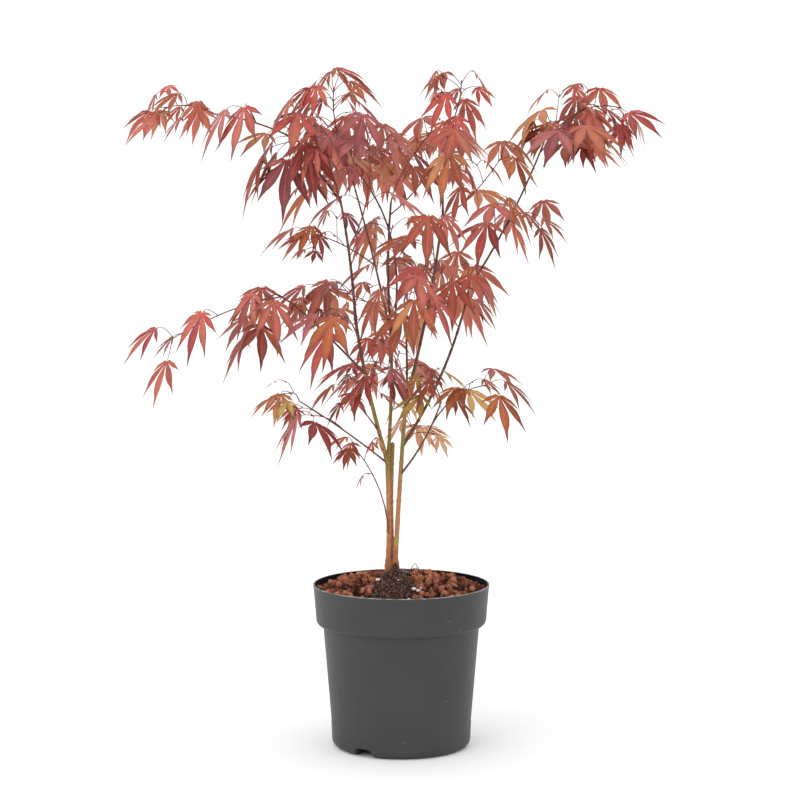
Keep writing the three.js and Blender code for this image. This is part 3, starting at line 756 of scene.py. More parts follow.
@dataclass(frozen=True)
class TwigFinish:
    """The finish of the twigs and leaf stalks."""

    red: Paint = (140, 58, 50)
    dark: Paint = (88, 46, 42)

    def material(self) -> bpy.types.Material:
        """Builds the twigs' material."""
        surface = Surface("twig_bark", 0.5, 0.35)
        patches = surface.mottle(14, 0.36, 0.64, 3)
        surface.colour(surface.mix(patches["Mask"], linear(*self.dark), linear(*self.red)))
        surface.bump(patches["Height"], 0.2, 0.3)
        return surface.material


@dataclass(frozen=True)
class PotFinish:
    """The finish of the pot: dark grey moulded plastic, a little dusty, with fine scratches, a painted
    highlight on the rim's edge and painted shade on the inner wall.
    """

    grey: Paint = (57, 57, 58)
    dust: Paint = (88, 88, 87)
    scratch: Paint = (132, 131, 128)
    # The rim edge's pale grey is a painted highlight.
    lip: Paint = (150, 150, 148)
    # The near black of the inside is painted shade on the inner wall.
    inside: Paint = (7, 7, 8)
    inside_dust: Paint = (20, 18, 17)

    def material(self) -> bpy.types.Material:
        """Builds the plastic.

        Returns:
            The material.
        """
        surface = Surface("pot_plastic", 0.5, 0.27)
        dust = linear(*self.dust)
        clouds = surface.mottle(46, 0.36, 0.72, 3)
        base = surface.mix(clouds["Mask"], linear(*self.grey), dust, 0.1)
        specks = surface.mottle(1.6, 0.68, 0.74, 2)
        base = surface.mix(specks["Mask"], base, dust, 0.35)
        scratches = surface.mottle(9, 0.7, 0.73, 4, 5.0)
        zones = surface.mottle(30, 0.5, 0.62, 2)
        fine = surface.math("MULTIPLY", scratches["Mask"], zones["Mask"])
        surface.colour(surface.mix(fine, base, linear(*self.scratch), 0.5))
        grain = surface.mottle(0.9, 0.3, 0.7, 2)
        surface.bump(grain["Height"], 0.18, 0.12)
        return surface.material

    def lip_highlight_material(self) -> bpy.types.Material:
        """Builds the rim's edge in pale grey, a painted highlight, mottled with the dust colour."""
        surface = Surface("pot_plastic_lip", 0.5, 0.4)
        patches = surface.mottle(6, 0.4, 0.6, 3)
        surface.colour(surface.mix(patches["Mask"], linear(*self.dust), linear(*self.lip)))
        return surface.material

    def inside_shade_material(self) -> bpy.types.Material:
        """Builds the inner wall in near black, painted shade, with faint clouds of dust."""
        surface = Surface("pot_plastic_inside", 0.75, 0.12)
        clouds = surface.mottle(12, 0.4, 0.7, 3)
        dark, dust = linear(*self.inside), linear(*self.inside_dust)
        surface.colour(surface.mix(clouds["Mask"], dark, dust, 0.3))
        return surface.material


@dataclass(frozen=True)
class CrumbFinish:
    """The finish of loose stuff: its ground, which between lumps is painted shade in the gaps, three colours
    dealt out by lump, and dark pores that are painted shade in their hollows.
    """

    name: str
    ground: Paint
    deep: Paint
    plain: Paint
    light: Paint
    pore_shade: Paint
    pore_shade_share: float = 0.7

    def material(self) -> bpy.types.Material:
        """Builds the material.

        Returns:
            The material, which reads each lump's own tone.
        """
        surface = Surface(self.name, 0.88, 0.15)
        colour = surface.ramp(surface.attribute("tone"), (
            (0.0, linear(*self.ground)), (0.06, linear(*self.deep)), (0.55, linear(*self.plain)),
            (0.84, blend(linear(*self.plain), linear(*self.light), 0.3)), (1.0, linear(*self.light)),
        ))
        # The pores' dark colour is painted shade in the lumps' hollows.
        pores = surface.mottle(1.1, 0.5, 0.66, 4)
        surface.colour(surface.mix(pores["Mask"], colour, linear(*self.pore_shade), self.pore_shade_share))
        surface.bump(pores["Height"], 0.6, 0.6)
        return surface.material


# ---------------------------------------------------------------- the plant
class Skeleton:
    """Works out the arcs of all limbs and of the masses' stems, each from what carries it."""

    def __init__(self) -> None:
        """Grows the limbs first and the stems from them."""
        self.limbs: dict[str, Arc] = {}
        for part in LIMBS:
            parent = self.limbs.get(part.parent)
            start = parent.at(part.share) if parent else np.array(FOOT_START)
            self.limbs[part.name] = Arc(start + np.array(part.offset), part.tip, part.bow, part.radii)
        self.stems: dict[str, Arc] = {}
        for sprig in SPRIGS:
            parent = self.limbs[sprig.on]
            thickest, tip = RULE.stem_radii
            radii = (min(thickest, parent.radius(sprig.share)), tip)
            self.stems[sprig.name] = Arc(parent.at(sprig.share), sprig.tip, sprig.bow, radii)


@dataclass(frozen=True)
class FootForm:
    """How the foot spreads into the first roots below and parts into the stems above."""

    low: float = 181.0
    high: float = 225.0
    levels: int = 34
    sides: int = 36
    parting: float = 195.0
    parting_span: float = 28.0
    radius: float = 4.1
    taper: float = 2.4
    core: float = 3.4
    least: float = 0.2
    root_top: float = 188.5
    root_depth: float = 7.0
    root_spread: float = 0.55


@dataclass
class Bark:
    """The trunk, the stems and the boughs, as one skin with the bark's relief."""

    skeleton: Skeleton
    foot_form: FootForm = FootForm()
    sides: int = 14
    relief_seed: int = 5
    waves: tuple[int, ...] = (2, 3, 4, 5)
    phases: Pair = (0.0, 6.28)
    drifts: Pair = (-0.05, 0.05)
    beats: Pair = (0.08, 0.3)
    ring_step: float = 2.2
    furrow: float = 0.07
    knuckle: float = 0.16
    knuckle_step: float = 41.0
    first_knuckle: Pair = (0.2, 0.9)
    fork_flare: float = 0.45
    fork_reach: float = 5.0
    thick: float = 2.0
    thick_fade: float = 0.5
    darkest: float = 0.85

    def relief(self, name: str, turn: Point, along: float) -> Point:
        """The share by which the skin stands out round one ring.

        Args:
            name: The limb's name, which seeds its furrows.
            turn: The angles round the ring.
            along: How far along the limb the ring lies, in millimetres.

        Returns:
            One share for each angle.
        """
        random = RandomStream(seed_of(name) + self.relief_seed)
        shares = np.zeros_like(turn)
        for wave in self.waves:
            phase, drift, beat = (random.between(*span) for span in (self.phases, self.drifts, self.beats))
            height = 0.5 + 0.5 * math.sin(along * beat + phase)
            shares += np.sin(wave * turn + phase + drift * along) * height / wave
        first = random.between(*self.first_knuckle) * self.knuckle_step
        nearest = (along - first) % self.knuckle_step
        nearest = min(nearest, self.knuckle_step - nearest)
        swelling = math.exp(-((nearest / 1.5) ** 2)) - 0.5 * math.exp(-(((nearest - 3) / 1.2) ** 2))
        return shares * self.furrow + self.knuckle * swelling

    def thinness(self, radius: float) -> float:
        """How far the bark has the dark tone of thin wood, at a radius in millimetres."""
        return min(self.darkest, max(0.0, (self.thick - radius) / self.thick_fade))

    def tube(self, name: str, arc: Arc, corners: list, faces: list) -> None:
        """Adds one limb's skin to the lists of corners and faces."""
        rings = max(4, int(arc.length / self.ring_step))
        turn = np.arange(self.sides) * (2 * math.pi / self.sides)
        first = len(corners)
        for ring in range(rings + 1):
            share = ring / rings
            side, other = arc.frame(share)
            along = share * arc.length
            swell = 0 if name.startswith("stem") else self.fork_flare
            flare = 1 + swell * math.exp(-along / self.fork_reach)
            radius = arc.radius(share) * flare * (1 + self.relief(name, turn, along))
            for angle, reach in zip(turn, radius):
                way = side * math.cos(angle) + other * math.sin(angle)
                corners.append((arc.at(share) + way * reach) * MM)
        self.close(corners, faces, first, rings, arc)

    def close(self, corners: list, faces: list, first: int, rings: int, arc: Arc) -> None:
        """Adds the faces between the rings, and rounds off both ends."""
        n = self.sides
        faces += band_faces(first, rings, n)
        foot, tip = len(corners), len(corners) + 1
        corners.append((arc.at(0) - arc.heading(0) * arc.radii[0] * 0.4) * MM)
        corners.append((arc.at(1) + arc.heading(1) * arc.radii[1] * 0.8) * MM)
        last = first + rings * n
        for i in range(n):
            j = (i + 1) % n
            faces.append((foot, first + j, first + i))
            faces.append((tip, last + i, last + j))

    def foot(self, corners: list, faces: list) -> None:
        """Adds the foot, where the stems run into one another over the first roots."""
        form = self.foot_form
        arc = self.skeleton.limbs["trunk_foot"]
        stems = [np.array(part.offset[:2]) for part in LIMBS[1:4]]
        first = len(corners)
        for level in range(form.levels + 1):
            z = form.low + (form.high - form.low) * (level / form.levels)
            ease = min(1.0, max(0.0, (z - form.parting) / form.parting_span))
            radius = form.radius - form.taper * ease
            pull = 1 + form.root_spread * max(0.0, (form.root_top - z) / form.root_depth)
            for turn in ring_angles(form.sides):
                way = np.array((math.cos(turn), math.sin(turn)))
                reach = form.core * (1 - ease) ** 2 + form.least
                for centre in stems:
                    along = centre @ way
                    gap = radius**2 - (centre @ centre - along**2)
                    if gap > 0:
                        reach = max(reach, along + math.sqrt(gap))
                relief = 1 + 0.05 * math.sin(5 * turn + z * 0.4) + 0.035 * math.sin(11 * turn - z * 0.7)
                spread = way * reach * pull * relief
                corners.append(np.array((arc.start[0] + spread[0], arc.start[1] + spread[1], z)) * MM)
        faces += band_faces(first, form.levels, form.sides)
        last = first + form.levels * form.sides
        faces.append(tuple(first + i for i in reversed(range(form.sides))))
        faces.append(tuple(last + i for i in range(form.sides)))

    def build(self) -> None:
        """Makes the bark and puts it in place of the limbs."""
        corners: list = []
        faces: list = []
        self.foot(corners, faces)
        thin = [0.0] * len(corners)
        for name, arc in self.skeleton.limbs.items():
            if name != "trunk_foot":
                before = len(corners)
                self.tube(name, arc, corners, faces)
                shares = np.linspace(0, 1, (len(corners) - before - 2) // self.sides)
                rings = np.repeat([self.thinness(arc.radius(share)) for share in shares], self.sides)
                thin += [*rings, rings[0], rings[-1]]
        bark = new_object("maple_bark", corners, faces, [BarkFinish().material()], True)
        bark.data.attributes.new("thin", "FLOAT", "POINT").data.foreach_set("value", thin)
        finish_piece(bark, self.skeleton.limbs)


@dataclass
class Leaf:
    """One leaf, aimed: where its stalk starts, its hand's centre and the three ways it faces."""

    root: Point
    reach: Point
    centre: Point
    axis: Point
    side: Point
    normal: Point
    size: float
    hand: Hand

    def lobe_tip(self) -> Point:
        """The tip of the middle lobe."""
        return self.centre + self.axis * self.size - UP * (RULE.droop * self.size)

    def stalk_way(self, steps: int = 6) -> list[Point]:
        """The line of its stalk, which arches over the neck behind the blade and down into it."""
        neck = self.centre - self.axis * (RULE.neck * self.size)
        shares = [step / steps for step in range(steps + 1)]
        return [self.root * (1 - t) ** 2 + neck * (2 * t * (1 - t)) + self.centre * t**2 for t in shares]


@dataclass
class Foliage:
    """The leaves, twigs and stalks that grow on from the limbs."""

    skeleton: Skeleton
    nodes: dict[str, bpy.types.Object]
    lobe_width: float = 0.226
    sinus: float = 0.09
    back_turn: float = 40.0
    spike: float = 0.5
    stations: tuple[Pair, ...] = (
        (0.2, 0.5), (0.37, 0.9), (0.51, 1.0), (0.65, 0.8), (0.76, 0.4), (0.88, 0.2),
    )
    spike_stations: tuple[Pair, ...] = ((0.3, 0.75), (0.54, 0.95), (0.82, 0.3))
    lobe_change: float = 0.25
    folds: Pair = (0.1, 0.5)
    sinus_rise: float = 0.02
    curls: Pair = (-0.03, 0.10)
    sways: Pair = (-0.03, 0.03)
    splay: float = 0.0012
    early_sag: float = 0.35
    near_solid: float = 0.4
    crease: float = 16.0
    twig_sides: int = 5
    shade_draw: float = 3.2
    twig_seed: int = 101
    spray_seed: int = 301
    leaf_seed: int = 401
    stem_steps: int = 6
    stalk_radii: tuple[float, ...] = (0.52, 0.46, 0.42, 0.38, 0.36, 0.32, 0.2)
    bud_steps: tuple[float, ...] = (0.8, 1.8, 3.2)
    bud_radii: tuple[float, ...] = (0.8, 0.75, 0.1)

    def seats(self, sprig: Sprig) -> list[Seat]:
        """Where a mass's leaves stand on its stem: the share of it, the turn and the side."""
        seats = []
        for pair in range(sprig.pairs):
            along = pair / (sprig.pairs - 1) if sprig.pairs > 1 else 1
            share = sprig.first + (RULE.last_pair - sprig.first) * along
            seats += [(share, pair % 2, -1), (share, pair % 2, 1)]
        return seats + [(RULE.lone, 0, 0)] * sprig.lone

    def aim(self, length: float, arc: Arc, seat: Seat, random: RandomStream) -> Leaf:
        """Aims one leaf: its stalk leaves the stem sideways and its blade hangs from the end.

        Args:
            length: The length of the middle lobe before it varies.
            arc: The stem.
            seat: The share of the stem, the turn and the side.
            random: The leaf's own stream.

        Returns:
            The leaf.
        """
        share, turn, hand = seat
        heading = arc.heading(share)
        level = np.cross(heading, UP)
        is_upright = np.linalg.norm(level) < RULE.upright_stem
        level = np.array((1.0, 0, 0)) if is_upright else unit(level)
        roll = math.radians(turn * RULE.turn + (random() - 0.5) * RULE.roll)
        sideways = turned_about(level, heading, roll) * hand
        forward = 1 if hand == 0 else RULE.forward[0] + (RULE.forward[1] - RULE.forward[0]) * share
        reach = unit(sideways + heading * forward + UP * random.between(*RULE.lift))
        size = length * random.between(*RULE.sizes)
        root = arc.at(share + hand * RULE.apart / arc.length)
        centre = root + reach * size * RULE.stalk * random.between(*RULE.stalks)
        pitch = math.radians(random.between(*RULE.pitch))
        yaw = random.between(-RULE.yaw, RULE.yaw)
        ahead = turned_about(unit(np.array((reach[0], reach[1], 0.0))), UP, yaw)
        axis = ahead * math.cos(pitch) - UP * math.sin(pitch)
        tilt = random.between(-RULE.tilt, RULE.tilt)
        side = turned_about(np.cross(UP, ahead), axis, tilt)
        kind = SEVEN if random() < RULE.seven_lobes else FIVE
        return Leaf(root, reach, centre, axis, side, np.cross(axis, side), size, kind)

    def main_leaves(self, sprig: Sprig) -> list[Leaf]:
        """The leaves on a mass's own stem, each at the try that its solid has."""
        mesh = self.nodes[sprig.name].data
        near = KDTree(len(mesh.vertices))
        for vertex in mesh.vertices:
            near.insert(vertex.co, vertex.index)
        near.balance()
        leaves = []
        for index, seat in enumerate(self.seats(sprig)):
            random = RandomStream(seed_of(sprig.name) + index)
            for _ in range(RULE.tries):
                leaf = self.aim(sprig.leaf, self.skeleton.stems[sprig.name], seat, random)
                if near.find(Vector(leaf.lobe_tip() * MM))[2] < self.near_solid * MM:
                    leaves.append(leaf)
                    break
        return leaves

    def fine_twigs(self, sprig: Sprig, leaves: list[Leaf]) -> tuple[list[Arc], list[Leaf]]:
        """The finer twigs between a mass's leaves, with small leaves of their own.

        Args:
            sprig: The mass.
            leaves: The leaves that it has already.

        Returns:
            The twigs and the leaves on them, all within the reach of the mass.
        """
        rule, stem = FINE_RULE, self.skeleton.stems[sprig.name]
        low, high = (np.array(corner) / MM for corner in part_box(sprig.name))
        twigs, small = [], []
        for step in range(sprig.fine):
            random = RandomStream(seed_of(sprig.name) + self.twig_seed + step)
            share = sprig.first + (rule.last - sprig.first) * (step + 0.5) / sprig.fine
            guide = self.aim(sprig.leaf, stem, (share, step % 3, 1 - 2 * (step % 2)), random)
            tip = guide.root + guide.reach * (sprig.leaf * random.between(*rule.reach))
            tip = tip + UP * random.between(*rule.rise)
            twig = Arc(guide.root, tip, (0, 0, random.between(*rule.bow)), rule.radii)
            held = []
            for seat in ((rule.seat, 0, -1), (rule.seat, 0, 1)):
                for _ in range(rule.tries):
                    leaf = self.aim(sprig.leaf * random.between(*rule.sizes), twig, seat, random)
                    end = leaf.lobe_tip()
                    inside = np.all(end > low + rule.inset) and np.all(end < high - rule.inset)
                    crowd = [np.linalg.norm(leaf.centre - other.centre) for other in leaves + small + held]
                    if inside and min(crowd, default=math.inf) > rule.crowd * leaf.size:
                        held.append(leaf)
                        break
            if held:
                twigs.append(twig)
                small += held
        return twigs, small

    def outline(self, leaf: Leaf, random: RandomStream) -> tuple[np.ndarray, list, list, list]:
        """The corners, faces and lobe coordinates of one leaf's blade.

        Args:
            leaf: The leaf.
            random: A stream for its folds and curls.

        Returns:
            Corners in millimetres, faces as corner numbers, one coordinate pair per corner, and
            how many faces each lobe has.
        """
        size, hand = leaf.size, leaf.hand
        fold = random.between(*self.folds)

        def place(degrees: float, distance: float, across: float = 0.0, lift: float = 0.0,
                  sag: float = 0.0) -> Point:
            """A point by its direction and distance in the hand, and how far it is off its plane."""
            turn = math.radians(degrees)
            way = leaf.axis * math.cos(turn) + leaf.side * math.sin(turn)
            square = leaf.side * math.cos(turn) - leaf.axis * math.sin(turn)
            return leaf.centre + way * distance + square * across + leaf.normal * lift - UP * sag

        corners = [leaf.centre]
        lobes = [(0.0, 0.0)]
        cuts = [hand.angles[0] - self.back_turn]
        cuts += [(a + b) / 2 for a, b in zip(hand.angles, hand.angles[1:])]
        cuts.append(hand.angles[-1] + self.back_turn)
        for cut in cuts:
            corners.append(place(cut, self.sinus * size, 0, fold * self.sinus_rise * size))
            lobes.append((0.8, 0.1))
        faces, counts = [], []
        for number, (angle, share) in enumerate(zip(hand.angles, hand.lengths)):
            length = share * size
            half = self.lobe_width * length / 2
            curl = random.between(*self.curls) * length
            sway = random.between(*self.sways) * length - self.splay * angle * length
            stations = self.stations if share > self.spike else self.spike_stations
            count = len(stations)
            first = len(corners)
            for along, wide in stations:
                sag = RULE.droop * length * along * (self.early_sag + (1 - self.early_sag) * along)
                bend = sway * along * along
                lift = -curl * along**3
                rise = fold * half * wide
                for across, height in ((0.0, lift), (-half * wide, lift + rise), (half * wide, lift + rise)):
                    corners.append(place(angle, along * length, bend + across, height, sag))
                    lobes.append((1.0 if across else 0.0, along))
            corners.append(place(angle, length, sway, -curl, RULE.droop * length))
            lobes.append((0.5, 1.0))
            before, after, tip = 1 + number, 2 + number, len(corners) - 1
            faces += [(0, before, first + 1, first), (0, first, first + 2, after)]
            for k in range(count - 1):
                mid, early, late = first + 3 * k, first + 3 * k + 1, first + 3 * k + 2
                faces += [(mid, early, early + 3, mid + 3), (mid, mid + 3, late + 3, late)]
            mid = first + 3 * (count - 1)
            faces += [(mid, mid + 1, tip), (mid, tip, mid + 2)]
            counts.append(2 * count + 2)
        return np.array(corners), faces, lobes, counts

    def build(self) -> None:
        """Makes one piece of leaves for each tint, and one of all twigs and stalks."""
        twigs: Lines = []
        grown: dict[Tint, list[tuple[Leaf, int, int]]] = {tint: [] for tint in Tint}
        shares = [step / self.stem_steps for step in range(self.stem_steps + 1)]
        for sprig in SPRIGS:
            leaves = self.main_leaves(sprig)
            fine, small = self.fine_twigs(sprig, leaves)
            for arc in [self.skeleton.stems[sprig.name]] + fine:
                bud = [arc.tip + arc.heading(1) * step for step in self.bud_steps]
                line = [arc.at(share) for share in shares] + bud
                twigs.append((line, [arc.radius(share) for share in shares] + list(self.bud_radii)))
            spray = RandomStream(seed_of(sprig.name) + self.spray_seed)
            for index, leaf in enumerate(leaves + small):
                tint = LEAF_FINISHES[sprig.tint].deal(spray())
                shade = min(2, int(spray() * self.shade_draw))
                grown[tint].append((leaf, shade, seed_of(sprig.name) + self.leaf_seed + index))
                twigs.append((leaf.stalk_way(), self.stalk_radii))
        for finish in LEAF_FINISHES.values():
            self.join(finish, grown[finish.tint])
        self.twig_piece(twigs)
        LOG.info("leaves: %d", sum(len(leaves) for leaves in grown.values()))

    def join(self, finish: LeafFinish, leaves: list[tuple[Leaf, int, int]]) -> None:
        """Joins the leaves of one tint into one piece.

        Args:
            finish: The tint's finish.
            leaves: Each leaf with the number of its shade and its seed.
        """
        corners, faces, lobes, shades = [], [], [], []
        for leaf, shade, seed in leaves:
            random = RandomStream(seed)
            points, sides, places, counts = self.outline(leaf, random)
            offset = len(lobes)
            corners.append(points * MM)
            lobes += places
            faces += [tuple(offset + i for i in side) for side in sides]
            for count in counts:
                own = shade if random() > self.lobe_change else int(random() * 3)
                shades += [own] * count
        name = f"leaves_of_{finish.tint.value}"
        piece = new_object(name, np.concatenate(corners), faces, finish.materials(), True)
        piece.data.polygons.foreach_set("material_index", shades)
        layer = piece.data.uv_layers.new(name="lobe")
        corner_of = np.empty(len(piece.data.loops), dtype=np.int32)
        piece.data.loops.foreach_get("vertex_index", corner_of)
        layer.uv.foreach_set("vector", np.array(lobes, dtype=np.float32)[corner_of].ravel())
        piece.data.set_sharp_from_angle(angle=math.radians(self.crease))
        finish_piece(piece, [sprig.name for sprig in SPRIGS if sprig.tint is finish.tint])

    def twig_piece(self, ways: Lines) -> None:
        """Makes the twigs and stalks as tubes that follow their lines."""
        twigs = new_lines("maple_twigs", ways)
        GrownTree.tubes(twigs, self.twig_sides, TwigFinish().material())
        finish_piece(settle(twigs), [sprig.name for sprig in SPRIGS])


# ---------------------------------------------------------------- what repeats, by nodes
class GrownTree(Graph):
    """A geometry node tree with named inputs, a material among them."""

    densest = 1e6
    full_turn = 6.283

    def __init__(self, name: str, inputs: Sequence[tuple[str, str, object]]) -> None:
        """Starts a tree with a geometry going through.

        Args:
            name: The tree's name.
            inputs: The name, socket kind and value of each input.
        """
        super().__init__(bpy.data.node_groups.new(name, "GeometryNodeTree"))
        sockets = self.tree.interface
        sockets.new_socket("Geometry", in_out="INPUT", socket_type="NodeSocketGeometry")
        sockets.new_socket("Geometry", in_out="OUTPUT", socket_type="NodeSocketGeometry")
        self.values = {}
        for label, kind, value in inputs:
            socket = sockets.new_socket(label, in_out="INPUT", socket_type=kind)
            self.values[socket.identifier] = value
        self.given = self.node("NodeGroupInput").outputs

    def put_on(self, thing: bpy.types.Object, made: bpy.types.NodeSocket) -> None:
        """Dresses what the tree made in its material, and puts the tree on an object."""
        real = self.node("GeometryNodeRealizeInstances", {0: made}).outputs[0]
        feeds = {"Geometry": real, "Material": self.given["Material"]}
        self.node("NodeGroupOutput", {0: self.node("GeometryNodeSetMaterial", feeds).outputs[0]})
        modifier = thing.modifiers.new(self.tree.name, "NODES")
        modifier.node_group = self.tree
        for identifier, value in self.values.items():
            modifier[identifier] = value

    @classmethod
    def tubes(cls, thing: bpy.types.Object, sides: int, material: bpy.types.Material) -> None:
        """Turns each line of a curve into a tapering tube.

        Args:
            thing: The curve object, whose points hold the radii.
            sides: How many sides a tube has.
            material: The tubes' material.
        """
        grown = cls("tubes_along_lines", (
            ("Sides", "NodeSocketInt", sides), ("Material", "NodeSocketMaterial", material),
        ))
        circle = grown.node("GeometryNodeCurvePrimitiveCircle", {
            "Radius": 1, "Resolution": grown.given["Sides"],
        })
        tube = grown.node("GeometryNodeCurveToMesh", {
            "Curve": grown.given["Geometry"], "Profile Curve": circle.outputs["Curve"],
            "Scale": grown.node("GeometryNodeInputRadius").outputs[0], "Fill Caps": True,
        })
        smooth = grown.node("GeometryNodeSetShadeSmooth", {0: tube.outputs[0]})
        grown.put_on(thing, smooth.outputs[0])

    @classmethod
    def scatter(cls, thing: bpy.types.Object, lumps: bpy.types.Collection, spacing: float,
                sizes: Pair, reach: float, seed: int, material: bpy.types.Material) -> None:
        """Covers a surface with lumps, and keeps the surface.

        Args:
            thing: The object whose faces are covered.
            lumps: The shapes to choose from, each about 1 mm across.
            spacing: The least distance between two lumps, in millimetres.
            sizes: The smallest and the largest lump, in millimetres.
            reach: How far from the upright axis a lump may stand, in millimetres.
            seed: The seed of every random choice.
            material: The lumps' material.
        """
        grown = cls("lumps_on_a_surface", (
            ("Lumps", "NodeSocketCollection", lumps),
            ("Spacing", "NodeSocketFloat", spacing * MM),
            ("Smallest", "NodeSocketFloat", sizes[0]),
            ("Largest", "NodeSocketFloat", sizes[1]),
            ("Reach", "NodeSocketFloat", reach * MM),
            ("Seed", "NodeSocketInt", seed),
            ("Material", "NodeSocketMaterial", material),
        ))
        given, add = grown.given, grown.node
        spots = add("GeometryNodeDistributePointsOnFaces", {
            "Mesh": given["Geometry"], "Distance Min": given["Spacing"], "Density Max": cls.densest,
            "Seed": given["Seed"],
        }, distribute_method="POISSON")
        place = add("GeometryNodeInputPosition").outputs[0]
        level = add("ShaderNodeVectorMath", {0: place, 1: (1, 1, 0)}, operation="MULTIPLY").outputs[0]
        distance = add("ShaderNodeVectorMath", {0: level}, operation="LENGTH").outputs["Value"]
        beyond = add("ShaderNodeMath", {0: distance, 1: given["Reach"]}, operation="GREATER_THAN")
        within = add("GeometryNodeDeleteGeometry", {
            "Geometry": spots.outputs["Points"], "Selection": beyond.outputs[0],
        })
        choice = add("GeometryNodeCollectionInfo", {
            "Collection": given["Lumps"], "Separate Children": True, "Reset Children": True,
        })
        size = add("FunctionNodeRandomValue", {
            2: given["Smallest"], 3: given["Largest"], "Seed": given["Seed"],
        })
        spin = add("FunctionNodeRandomValue", {
            "Max": (cls.full_turn,) * 3, "Seed": given["Seed"],
        }, data_type="FLOAT_VECTOR")
        tone = add("FunctionNodeRandomValue", {"Seed": given["Seed"]})
        lump = add("GeometryNodeInstanceOnPoints", {
            "Points": within.outputs[0], "Instance": choice.outputs[0], "Pick Instance": True,
            "Rotation": spin.outputs[0], "Scale": size.outputs[1],
        })
        mark = add("GeometryNodeStoreNamedAttribute", {
            "Geometry": lump.outputs[0], "Name": "tone", "Value": tone.outputs[1],
        }, data_type="FLOAT", domain="INSTANCE")
        both = add("GeometryNodeJoinGeometry", {0: mark.outputs[0]})
        grown.feed(given["Geometry"], both.inputs[0])
        grown.put_on(thing, both.outputs[0])


# ---------------------------------------------------------------- the pot and what fills it
@dataclass
class NurseryPot:
    """The round pot: a thin shell with a thick collar, and drain notches under its edge."""

    height: float = 176.0
    rim_radius: float = 95.0
    collar_height: float = 43.4
    collar_foot_radius: float = 91.8
    body_top_radius: float = 84.2
    body_foot_radius: float = 74.2
    foot_height: float = 10.0
    contact_radius: float = 66.5
    ledge_height: float = 26.0
    wall: float = 1.6
    floor: float = 10.5
    notch_bearings: tuple[float, ...] = (-33.0, 147.0)
    notch_width: float = 23.5
    notch_height: float = 9.5
    notch_depth: float = 17.0
    sides: int = 144
    crease: float = 34.0

    def corner(self, x: float, z: float, radius: float, start: float, end: float, steps: int = 6) -> list:
        """Points along a rounded corner of the profile, from one angle in degrees to another."""
        turns = [math.radians(start + (end - start) * i / steps) for i in range(steps + 1)]
        return [(x + radius * math.cos(t), z + radius * math.sin(t)) for t in turns]

    def profile(self) -> tuple[list, int]:
        """The pot's section, from the centre of its underside over the rim to its inner floor.

        Returns:
            The points, and how many of them lie outside.
        """
        collar_foot = self.height - self.collar_height
        step = collar_foot + self.wall
        outside = [(0.0, 0.0)]
        outside += self.corner(self.contact_radius, 8.5, 8.5, -90, -8)
        outside += [
            (self.body_foot_radius + 0.9, self.foot_height + 1),
            (self.body_foot_radius + 1.4, self.ledge_height - 0.8),
            (self.body_foot_radius + 1.55, self.ledge_height),
            (self.body_foot_radius + 1.2, self.ledge_height + 0.5),
            (self.body_foot_radius + 1.25, self.ledge_height + 1.6),
            (self.body_top_radius, collar_foot - 1.2),
            (self.body_top_radius + 0.4, collar_foot - 0.3),
        ]
        outside += self.corner(self.collar_foot_radius - 6.2, collar_foot + 5.6, 6.1, -84, 0)
        outside += [
            (self.rim_radius - 0.5, self.height - 2.6),
            (self.rim_radius - 0.05, self.height - 1.9),
        ]
        outside += self.corner(self.rim_radius - 0.6, self.height - 0.6, 0.6, 0, 90, 4)
        inside = self.corner(self.rim_radius - self.wall + 0.3, self.height - 0.4, 0.4, 90, 180, 3)
        inside += [
            (self.collar_foot_radius - self.wall - 1, step + 2),
            (self.body_top_radius - self.wall, step),
            (self.body_foot_radius - self.wall, self.floor),
            (0.0, self.floor),
        ]
        return outside + inside, len(outside)

    def shell(self, materials: Sequence[bpy.types.Material]) -> bpy.types.Object:
        """The turned shell before its notches are cut, with its plain plastic, the inner wall's painted shade
        and the rim edge's painted highlight.
        """
        profile, outer = self.profile()
        plain, inside, lip = range(3)
        n, rings = self.sides, len(profile) - 2
        corners = [(0.0, 0.0, profile[0][1] * MM)]
        for radius, z in profile[1:-1]:
            for turn in ring_angles(n):
                corners.append((radius * MM * math.cos(turn), radius * MM * math.sin(turn), z * MM))
        corners.append((0.0, 0.0, profile[-1][1] * MM))
        faces, shades = [], [plain, inside] * n
        last = 1 + (rings - 1) * n
        for i in range(n):
            j = (i + 1) % n
            faces += [(0, 1 + j, 1 + i), (len(corners) - 1, last + i, last + j)]
        faces += band_faces(1, rings - 1, n)
        for ring in range(rings - 1):
            # The rim's rings take the painted highlight, and the inner rings the painted shade.
            shades += [inside if ring >= outer + 2 else lip if ring >= outer - 6 else plain] * n
        shell = new_object("nursery_pot", corners, faces, materials, True)
        shell.data.polygons.foreach_set("material_index", shades)
        return shell

    def notch(self, bearing: float) -> bpy.types.Object:
        """The block that cuts one arched drain notch, at a bearing in degrees from the front."""
        half, spring = self.notch_width / 2, self.notch_height * 0.55
        arch = [(-half, -1), (half, -1), (half - 1, spring)]
        for i in range(1, 7):
            t = i / 6
            x = (1 - t) ** 2 * (half - 1) + 2 * t * (1 - t) * (half - 2) + t * t * (half - 6)
            z = (1 - t) ** 2 * spring + (2 * t * (1 - t) + t * t) * self.notch_height
            arch.append((x, z))
        arch += [(-x, z) for x, z in reversed(arch[3:])] + [(1 - half, spring)]
        turn = math.radians(bearing)
        corners = []
        for y in (self.notch_depth - self.body_foot_radius, -self.body_foot_radius - 30):
            for x, z in arch:
                spot = (x * math.cos(turn) - y * math.sin(turn), x * math.sin(turn) + y * math.cos(turn), z)
                corners.append(tuple(v * MM for v in spot))
        n = len(arch)
        faces = [tuple(range(n)), tuple(range(2 * n - 1, n - 1, -1))]
        faces += [(i, n + i, n + (i + 1) % n, (i + 1) % n) for i in range(n)]
        block = new_object("notch", corners, faces, [], False)
        form = bmesh.new()
        form.from_mesh(block.data)
        bmesh.ops.recalc_face_normals(form, faces=form.faces)
        form.to_mesh(block.data)
        form.free()
        return block

